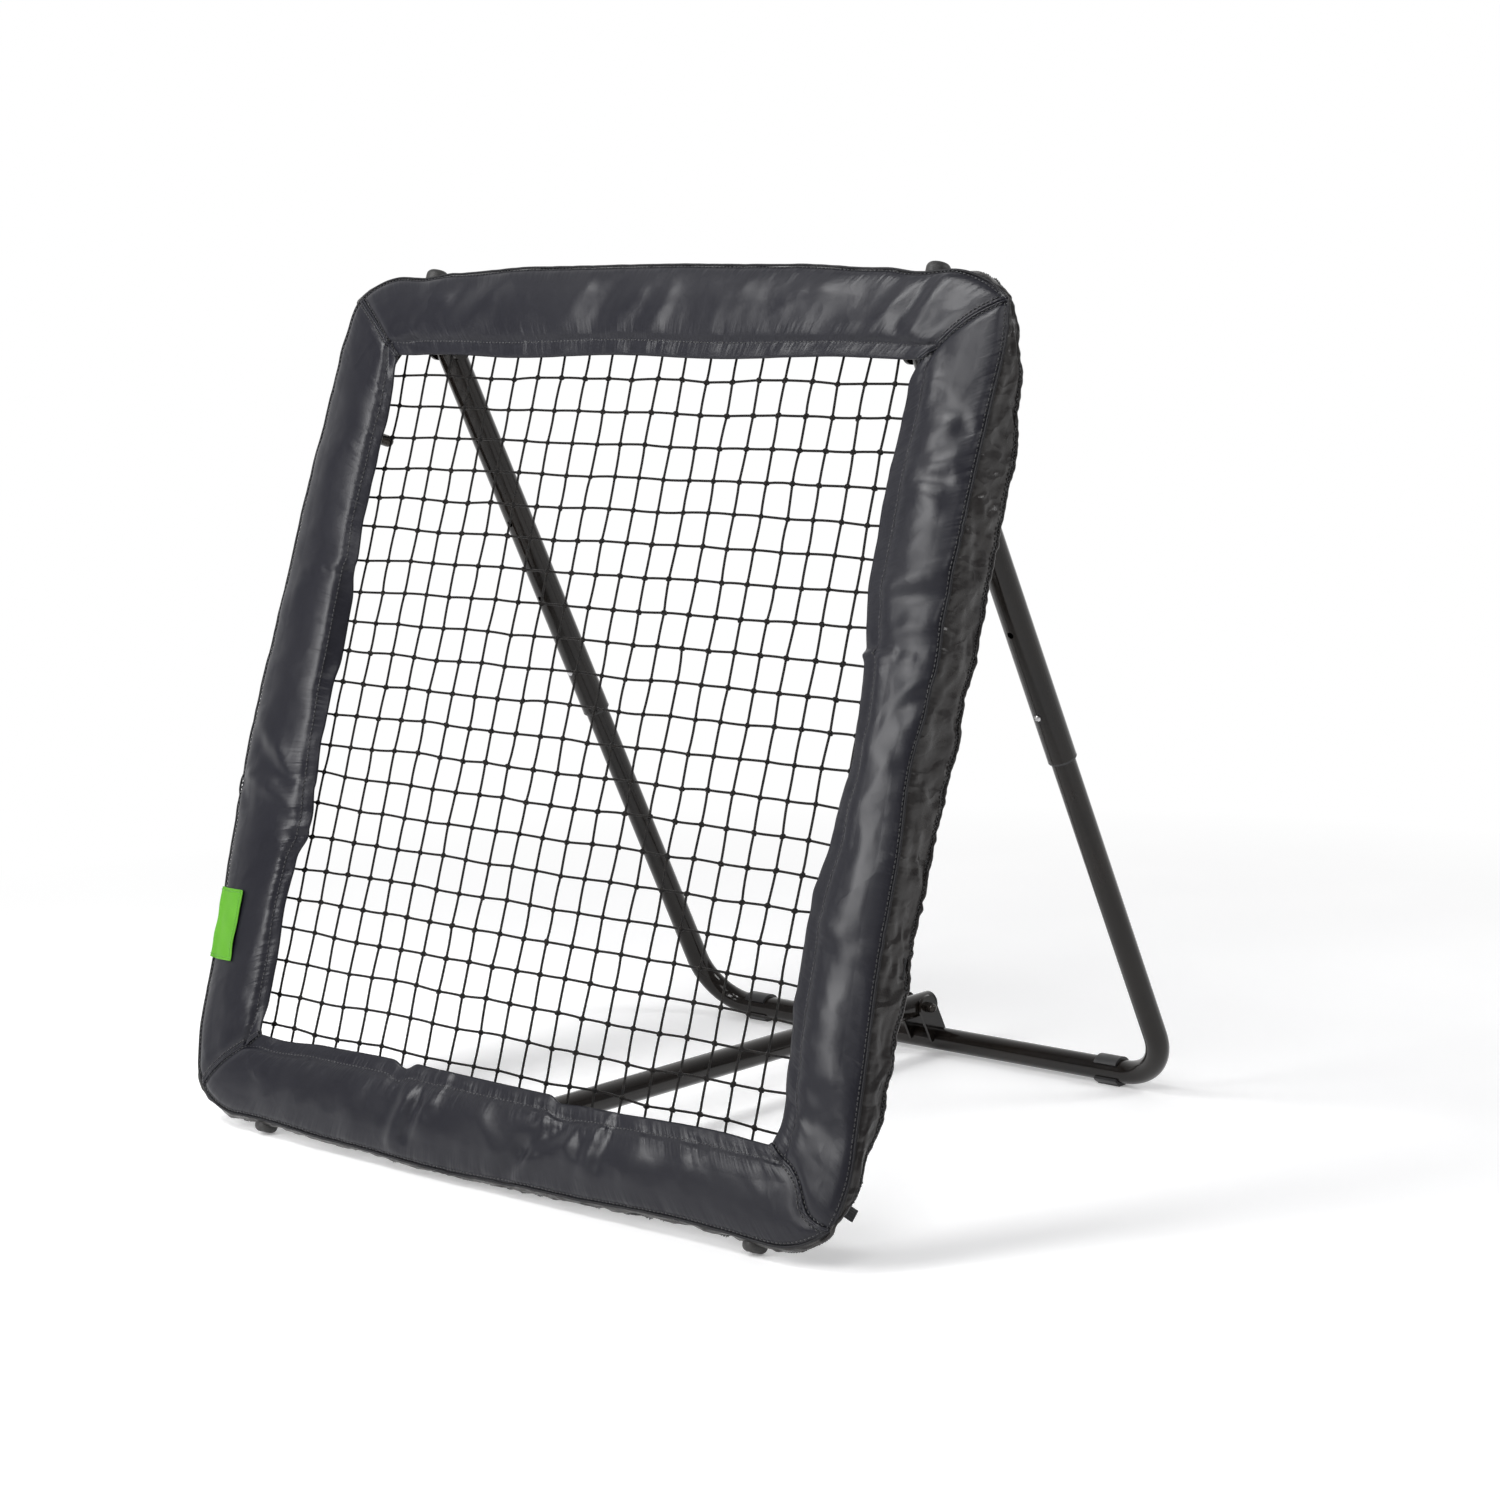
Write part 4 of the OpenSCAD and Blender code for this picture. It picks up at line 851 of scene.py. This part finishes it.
def build_cover():
    grid = cover_grid()
    grid = inflate(grid)
    even = np.roll(grid, 1, 0) + np.roll(grid, -1, 0) - 2 * grid
    grid[:, 1:HEM_ROW] += even[:, 1:HEM_ROW] * 0.12
    grid = sink_mitres(wrinkles(grid))
    rows = HEM_ROW + 1
    shown = grid[:, :rows]
    along = walked(np.concatenate([shown, shown[:1]])[:, SEAM_ROW])[:-1]
    across = np.interp(np.arange(rows), (0, FLAP_ROWS, SEAM_ROW, HEM_ROW), np.cumsum(
        (0, HEM_W, FRONT_SPAN, GUSSET_SPAN)))
    faces = grid_faces(RING, rows, wrap_rows=True, flip=True)
    obj = mesh_piece("padding_cover", to_row(shown.reshape(-1, 3)), faces)
    corners = corner_points(obj.data)
    u, v = along[corners // rows], across[corners % rows]
    closing = np.repeat(corners.reshape(-1, 4).max(1) >= (RING - 1) * rows, 4)
    u = np.where(closing & (u < along[5]), along[-1] + 7.0, u)
    set_uvs(obj.data, np.stack([u, v], -1) * MM)
    finish_piece(obj, "front_frame", "cover_fabric", cloth_mat, gusset_mat)
    strip = np.arange(len(faces)) % (rows - 1)
    obj.data.polygons.foreach_set("material_index", (strip >= SEAM_ROW).astype(int))
    obj.data.update()
    modifier(obj, "SUBSURF", levels=1, render_levels=1)
    modifier(obj, "SOLIDIFY", thickness=1.6 * MM, offset=-1.0)
    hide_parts("cover_top", "cover_bottom", "cover_left", "cover_right")
    return Surface(grid)


# ---- seams, piping and stitches

def build_piping(cloth):
    turn = np.arange(RING * 2) / (2 * SIDE_COLUMNS)
    point, normal = cloth.at(turn, np.full(len(turn), float(SEAM_ROW)))
    outward = unit(normal * (1, 0, 1))
    bundle = Bundle()
    bundle.tube(point + outward * 1.4 - np.array([0, 1.2, 0]), 1.6, sides=10, closed=True)
    obj = bundle.piece("outer_piping", "piping_fabric", piping_cloth())
    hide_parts("cover_piping")


def build_mitre_seams(cloth):
    """A flat-felled seam over each mitre: a raised welt with a smaller fold beside it."""
    rows = np.linspace(0.0, SEAM_ROW - 0.1, 70)
    bundle = Bundle()
    for k, bow in enumerate(mitre_row(rows)):
        wave = 1 + 0.14 * np.sin(np.arange(len(rows)) * 1.9 + k)
        for side, radius, lift in ((-0.0022, 1.7, 1.2), (0.0014, 2.1, 1.8)):
            point, normal = cloth.at(k + bow / SIDE_COLUMNS + side, rows, lift)
            bundle.tube(point, radius * wave, sides=8, flat=0.8, hint=normal)
    bundle.piece("mitre_seams", "cover_fabric", cloth_mat)


def stitch_run(bundle, point, normal, length=4.2, gap=1.8, radius=0.75):
    """Stitches along a line on the cloth: short thread loops that rise out of it."""
    walk = walked(point)
    count = int(walk[-1] // (length + gap))
    share = np.array([0.0, 0.2, 0.5, 0.8, 1.0])
    rise = np.array([-0.3, 0.35, 0.6, 0.35, -0.3])
    swell = np.array([0.5, 1, 1.1, 1, 0.5])
    place = np.arange(count)[:, None] * (length + gap) + share * length
    p, n = (np.stack([np.interp(place, walk, line[:, k]) for k in range(3)], -1)
            for line in (point, normal))
    n = unit(n)
    p = p + n * rise[None, :, None]
    across = unit(np.cross(unit(np.gradient(p, axis=1)), n))
    sides = 5
    a = np.arange(sides) / sides * 2 * pi
    ring = across[:, :, None] * np.cos(a)[:, None] + n[:, :, None] * np.sin(a)[:, None]
    verts = (p[:, :, None] + ring * swell[None, :, None, None] * radius).reshape(-1, 3)
    one = grid_faces(len(share), sides, wrap_cols=True)
    faces = (one[None] + (np.arange(count) * len(share) * sides)[:, None, None]).reshape(-1, 4)
    uv = np.stack([np.tile(np.repeat(share * length * MM, sides), count),
                   np.tile(a / (2 * pi), count * len(share))], -1)
    bundle.add(verts, faces, uv)


def build_stitches(cloth):
    bundle = Bundle()
    ring = np.arange(RING * 2 + 1) / (2 * SIDE_COLUMNS)
    for row, lift in ((FLAP_ROWS - 0.12, 0.3), (HEM_ROW - 1.0, 0.25), (SEAM_ROW - 0.5, 0.2)):
        stitch_run(bundle, *cloth.at(ring, np.full(len(ring), row), lift))
    rows = np.linspace(0.2, SEAM_ROW - 0.6, 80)
    for k, bow in enumerate(mitre_row(rows)):
        for side in (-0.0056, 0.0052):
            stitch_run(bundle, *cloth.at(k + bow / SIDE_COLUMNS + side, rows, 0.3))
    bundle.piece("cover_stitches", "piping_fabric", thread_mat)


def build_hem_edge(cloth):
    """The gusset's raw edge, rolled and sewn over with a zigzag thread."""
    count = RING * 4
    steps = np.arange(count)
    turn = steps / count * 4
    wobble = np.array([noise(Vector((i / 5, 0, 0))) for i in steps])
    wobble += np.interp(steps, (count - 40, count), (0, 1)) * (wobble[0] - wobble[-1])
    roll, _ = cloth.at(turn, HEM_ROW - 0.12 + 0.1 * wobble, 0.2)
    bundle = Bundle()
    bundle.tube(roll, 2.4 + 1.3 * wobble, sides=8, closed=True)
    bundle.piece("gusset_hem", "cover_fabric", gusset_mat)
    swing = np.where(steps % 2, 0.42, -0.55)
    zigzag, _ = cloth.at(turn, HEM_ROW - 0.42 + swing, 1.9)
    bundle = Bundle()
    bundle.tube(zigzag, 0.55, sides=5, closed=True)
    bundle.piece("gusset_zigzag", "piping_fabric", thread_mat)


# ---- the tag

def build_tag(cloth):
    """Woven strip folded over the left seam and sewn down on the front and the gusset."""
    front_w = PAD_HALF[0] - OPEN_HALF[0] - HEM_MID["left"]
    stitch = HEM_MID["left"] / (front_w + HEM_MID["left"])
    first = SEAM_ROW - TAG_WIDTH / front_w * FRONT_ROWS
    rows = np.concatenate([np.linspace(first, SEAM_ROW - 0.25, 12),
                           np.linspace(SEAM_ROW + 0.25, SEAM_ROW + 2.6, 7)])
    heights = TAG_Z + np.linspace(TAG_HALF, -TAG_HALF, 25)
    z, r = np.meshgrid(heights, rows, indexing="ij")
    share = np.clip((r - FLAP_ROWS) / FRONT_ROWS, 0, 1) * (1 - stitch) + stitch
    seam_half = (PAD_HALF[1] - PAD_CORNER) / ARC_T
    t = 2 + (1 - z / (OPEN_HALF[1] * (1 - share) + seam_half * share)) / 2
    over = np.exp(-(r - SEAM_ROW) ** 2)
    point, normal = Surface(smoothed(cloth.grid, 8)).at(t, r)
    skew = (TAG_Z - z) / TAG_HALF
    curl = np.clip((first + 1.6 - r) / 1.6, 0, 1) * (1 + 0.6 * np.sin(5 * skew))
    lift = 2.2 + over * 6.0 + curl + 0.5 * np.sin(7 * skew + r)
    point = point + normal * lift[..., None]
    uv = np.stack(np.meshgrid(heights[0] - heights, walked(point[12]), indexing="ij"), -1) * MM
    obj = mesh_piece("side_tag_woven", to_row(point.reshape(-1, 3)),
                     grid_faces(len(heights), len(rows), flip=True), uv.reshape(-1, 2))
    finish_piece(obj, "front_frame", "tag_fabric", tag_cloth())
    modifier(obj, "SUBSURF", levels=1, render_levels=1)
    modifier(obj, "SOLIDIFY", thickness=0.9 * MM, offset=1.0)
    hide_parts("side_tag")
    edge = Bundle()
    n = unit(np.cross(np.gradient(point, axis=1), np.gradient(point, axis=0)))
    for cut in (np.s_[1], np.s_[len(heights) - 2], np.s_[:, 1]):
        stitch_run(edge, point[cut] + n[cut] * 1.1, n[cut], length=2.6, gap=1.2, radius=0.35)
    edge.piece("tag_stitches", "tag_fabric",
               thread("tag_thread", (0.05, 0.30, 0.01), 0.5, (0.16, 0.52, 0.04), 0.1))


def smoothed(grid, times):
    g = grid.copy()
    for _ in range(times):
        g[:, 1:-1] += (g[:, 2:] + g[:, :-2] - 2 * g[:, 1:-1]) * 0.2
        g += (np.roll(g, 1, 0) + np.roll(g, -1, 0) - 2 * g) * 0.2
    return g


# ---- net and lacing

def net_knot(i, j):
    """Centre of a knot: an even mesh, pulled about by its lacing and its own ties."""
    x, z = FIRST_COL + CELL_W * i, FIRST_ROW + CELL_H * j
    u, v = x / NET_HALF[0], z / NET_HALF[1]
    p = Vector((x / 90, z / 90, 3.7))
    dx = 2.6 * noise(p) + 1.5 * noise(p * 5) + 1.6 * sin(3 * v + 1) * (1 - u * u)
    dz = 2.6 * noise(p + Vector((9, 4, 0))) + 1.5 * noise(p * 5 + Vector((3, 8, 1)))
    pull = 4.5 * (abs(u) ** 6) * sin(v * 17 + (2 if u > 0 else 0)) * (1 - v ** 8)
    lift = 3.0 * (abs(v) ** 6) * sin(u * 15 + (1 if v > 0 else 3)) * (1 - u ** 8)
    return Vector((x + dx, 0.6 * sin(2.1 * i + 1.3 * j), z + dz + pull + lift))


def net_edge(a):
    """The edge cord at angle a round the net, drawn out at each elastic loop."""
    w, h = NET_HALF[0] - EDGE_INSET, NET_HALF[1] - EDGE_INSET
    c, s = cos(a), sin(a)
    power = 14.0
    r = (abs(c / w) ** power + abs(s / h) ** power) ** (-1 / power)
    x, z = r * c, r * s
    on_upright = abs(x) / w > abs(z) / h
    along = z / NET_HALF[1] if on_upright else x / NET_HALF[0]
    pull = 2.5 * cos((along + 1) * (LOOPS + 1) * pi) - 2.5
    if on_upright:
        return Vector((x + copysign(pull, x), 0, z))
    return Vector((x, 0, z + copysign(pull, z)))


def cord_line(points, between=3):
    """The knots joined by slightly slack cords."""
    out = []
    for a, b in zip(points, points[1:]):
        bend = noise_vector((a + b) / 70) * 1.3
        for k in range(between):
            q = k / between
            out.append(a.lerp(b, q) + bend * sin(pi * q))
    out.append(points[-1])
    return np.array([tuple(p) for p in out])


def knot_shape(bundle, centre, seed):
    """An overhand knot, drawn as a lumpy bead."""
    ring, bands = 8, 6
    verts, uvs = [], []
    tilt = noise(Vector((seed * 0.37, 1.2, 0))) * 1.4
    c, s = cos(tilt), sin(tilt)
    for b in range(bands + 1):
        phi = pi * b / bands
        for k in range(ring):
            a = 2 * pi * k / ring
            lump = 1 + 0.22 * sin(2 * a + seed) * sin(phi) + 0.12 * cos(3 * phi)
            x, y, z = (4.3 * lump * sin(phi) * cos(a),
                       3.0 * lump * sin(phi) * sin(a), 3.7 * cos(phi))
            verts.append((centre.x + x * c - z * s, centre.y + y, centre.z + x * s + z * c))
            uvs.append((b / bands * 0.01, k / ring))
    bundle.add(np.array(verts), grid_faces(bands + 1, ring, wrap_cols=True), np.array(uvs))


def build_net():
    bundle = Bundle()
    knots = [[net_knot(i, j) for j in range(NET_ROWS)] for i in range(NET_COLS)]
    for lines, side, up in ((knots, 0, 1), (list(zip(*knots)), 1, 0)):
        for line in lines:
            line = [net_end(line[0], -side, -up), *line, net_end(line[-1], side, up)]
            bundle.tube(cord_line(line), CORD_R, sides=7)
    for i, line in enumerate(knots):
        for j, centre in enumerate(line):
            knot_shape(bundle, centre, i * 31.7 + j * 7.3)
    edge = [net_edge(a) for a in np.arange(720) / 720 * 2 * pi]
    bundle.tube([tuple(p) for p in edge], EDGE_CORD_R, sides=8, closed=True)
    obj = bundle.piece("knotted_net", "net_cord", net_cord())
    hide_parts("net")


def net_end(knot, side, up):
    """Where a line's last cord meets the edge cord."""
    if side:
        edge = net_edge(atan2(knot.z, copysign(NET_HALF[0], side)))
        return Vector((edge.x, 0, knot.z))
    edge = net_edge(atan2(copysign(NET_HALF[1], up), knot.x))
    return Vector((knot.x, 0, edge.z))


def build_lacing():
    """Elastic loops from the edge cord round the tubes."""
    bundle = Bundle()
    half = (FRAME_W / 2, FRAME_H / 2)
    big, small = TUBE_R + 1.9, 3.9
    for side in SIDES:
        a = SIDES.index(side) % 2
        gap = half[a] - NET_HALF[a] + EDGE_INSET
        swing = acos((big - small) / gap)
        turn = np.linspace(-(pi - swing), pi - swing, 18)
        back = np.linspace(pi - swing, pi + swing, 8)
        out = half[a] + np.concatenate([big * np.cos(turn), small * np.cos(back) - gap])
        y = np.concatenate([big * np.sin(turn), small * np.sin(back)])
        twist = np.sin(np.linspace(0, 2 * pi, len(out)))
        for k in range(1, LOOPS + 1):
            along = -NET_HALF[1 - a] + k * 2 * NET_HALF[1 - a] / (LOOPS + 1)
            z = along + 1.6 * sin(2.3 * k) * twist
            bundle.tube(place_side(side, out, y, z), 1.5, sides=7, closed=True,
                        hint=place_side(side, 0.0, 0.0, 1.0))
    obj = bundle.piece("elastic_loops", "elastic_cord", elastic())
    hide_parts("net_lacing")


# ---- foam and straps

def build_foam():
    """Four foam strips between the tubes' front and the cover, with rounded edges."""
    bundle = Bundle()
    cuts = np.linspace(0.08, 0.84, 12)
    t = np.linspace(-0.98, 0.98, 70)
    for side in SIDES:
        stitch = hem_share(side, t)
        columns = []
        for s in cuts:
            rounding = ((s - 0.46) / 0.38) ** 6
            y = -(HEM_Y + (SEAM_Y - HEM_Y) * s) + 3.2 + rounding * 2.5
            y = np.minimum(y, -TUBE_R - 0.6) + 0.5 * np.sin(t * 23 + s * 9)
            columns.append(panel_line(side, t, stitch + (1 - stitch) * s, y))
        for s in cuts[::-1]:
            columns.append(panel_line(side, t, stitch + (1 - stitch) * s, -TUBE_R - 0.1))
        grid = np.stack(columns, 1)
        rows, cols = grid.shape[:2]
        bundle.add(grid.reshape(-1, 3), capped_faces(rows, cols, flip=True),
                   np.zeros((rows * cols, 2)))
    obj = bundle.piece("foam_padding", "foam", plain(
        "foam", (0.26, 0.26, 0.28), 0.9, (0.12, 0.12, 0.13), (600, 4, 1),
        relief=((900, 4, 0.5, 0.8),)).mat)
    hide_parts("foam_strips")


def strap_path(cloth, side, turn):
    """From the hem at the opening, round the back of the tube, to the gusset's hem."""
    a = SIDES.index(side) % 2
    bar = (FRAME_W, FRAME_H)[a] / 2
    wrap = TUBE_R + 1.6
    hem, _ = cloth.at(turn, FLAP_ROWS - 0.3, -3.4)
    edge, _ = cloth.at(turn, HEM_ROW - 1.4, -2.6)
    angles = np.radians(np.arange(150, 35, -16))
    out = [abs(hem[2 * a]), bar - TUBE_R - 4.5, *(bar + wrap * np.cos(angles)), abs(edge[2 * a])]
    y = [hem[1], 2.0, *(wrap * np.sin(angles)), edge[1]]
    return place_side(side, np.array(out), np.array(y), hem[2 - 2 * a] * (-1) ** a)


def strap_tail(bundle):
    """The loose end of the lowest strap, which shows below the right gusset."""
    length, width, thick = 30.0, 15.0, 1.6
    path = np.array([(541 + 16 * q, 8 + 9 * q * q, -513 - 9 * q) for q in np.linspace(0, 1, 9)])
    across = np.array([0.1, 0.35, 0.93]) * width / 2
    normal = unit(np.cross(unit(np.gradient(path, axis=0)), across))
    ring = np.array([(-1, -0.5), (-1, 0.5), (0, 0.6), (1, 0.5), (1, -0.5), (0, -0.6)])
    verts = path[:, None] + across * ring[:, :1] + normal[:, None] * thick * ring[:, 1:]
    uv = np.stack(np.meshgrid(np.linspace(0, length, len(path)), ring[:, 0] * width / 2,
                              indexing="ij"), -1) * MM
    bundle.add(verts.reshape(-1, 3), capped_faces(len(path), len(ring)), uv.reshape(-1, 2))


def build_straps(cloth):
    """Three straps on each upright side, two on the others, and the loose end."""
    bundle = Bundle()
    ring = np.array([(-12, -0.6), (-12.24, 0), (-12, 0.6), (-6, 0.8), (6, 0.8),
                     (12, 0.6), (12.24, 0), (12, -0.6), (6, -0.8), (-6, -0.8)])
    for k, side in enumerate(SIDES):
        stops = (0.25, 0.5, 0.75) if k % 2 == 0 else (0.25, 0.75)
        for share in stops if k < 2 else stops[::-1]:
            path = strap_path(cloth, side, k + share)
            fine = np.linspace(0, len(path) - 1, 60)
            path = np.stack([np.interp(fine, np.arange(len(path)), line) for line in path.T], -1)
            for _ in range(6):
                path[1:-1] += (path[2:] + path[:-2] - 2 * path[1:-1]) * 0.25
            across = place_side(side, np.zeros(len(path)), 0.0, 1.0)
            normal = unit(np.cross(unit(np.gradient(path, axis=0)), across))
            bundle.sweep(path, across, normal, ring, ring[:, 0] * MM, ends=False)
    strap_tail(bundle)
    obj = bundle.piece("cover_straps", "webbing", webbing())
    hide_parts("pad_straps")


# ---- studio

def build_studio():
    floor = mesh_piece("studio_floor", [(x * FLOOR_HALF, y * FLOOR_HALF, 0) for x, y in (
        (-1, -1), (1, -1), (1, 1), (-1, 1))], [(0, 1, 2, 3)])
    floor.data.materials.append(floor_white())

    world = bpy.data.worlds.new("studio")
    bpy.context.scene.world = world
    world.use_nodes = True
    sky = Nodes(world.node_tree)
    toward = sky.node("VectorMath", operation="DOT_PRODUCT",
                      Vector=sky.node("TexCoord").outputs["Generated"])
    toward.inputs[1].default_value = LIT_SIDE
    facing = sky.fit(toward.outputs["Value"], 0, 1, 0.15, 0.85)
    level = sky.node("Mix", data_type="RGBA", A=SKY_DIM, B=SKY_LIT, Factor=facing)
    white = sky.node("Mix", data_type="RGBA", A=level.outputs["Result"], B=(1, 1, 1, 1),
                     Factor=seen_rays(sky, facing))
    background = world.node_tree.nodes["Background"]
    background.inputs["Strength"].default_value = 1.0
    sky.link(white.outputs["Result"], background.inputs["Color"])

    for name, (place, size, power) in LIGHTS.items():
        light = bpy.data.lights.new(name, "AREA")
        light.shape = "RECTANGLE"
        light.size, light.size_y = size
        light.energy = power
        obj = show(name, light)
        obj.location = place
        aim = Vector((0, 0, 0.5)) - obj.location
        obj.rotation_euler = aim.to_track_quat("-Z", "Y").to_euler()

    yaw, pitch, roll = (radians(angle) for angle in CAMERA_ANGLES)
    forward = Vector((-sin(yaw) * cos(pitch), cos(yaw) * cos(pitch),
                      -sin(pitch)))
    right = Vector((cos(yaw), sin(yaw), 0))
    up = right.cross(forward)
    right, up = (cos(roll) * right + sin(roll) * up,
                 cos(roll) * up - sin(roll) * right)
    lens = bpy.data.cameras.new("photo_camera")
    lens.lens, lens.sensor_width = CAMERA_LENS, 36
    lens.shift_x, lens.shift_y = CAMERA_SHIFT
    camera = show("photo_camera", lens)
    camera.matrix_world = Matrix.Translation(CAMERA_PLACE) @ Matrix(
        (right, up, -forward)).transposed().to_4x4()
    bpy.context.scene.camera = camera
    bpy.context.scene.view_settings.view_transform = "Standard"


paint_cad_nodes()
build_snap_buttons()
cloth = build_cover()
build_piping(cloth)
build_mitre_seams(cloth)
build_stitches(cloth)
build_hem_edge(cloth)
build_tag(cloth)
build_net()
build_lacing()
build_foam()
build_straps(cloth)
build_studio()
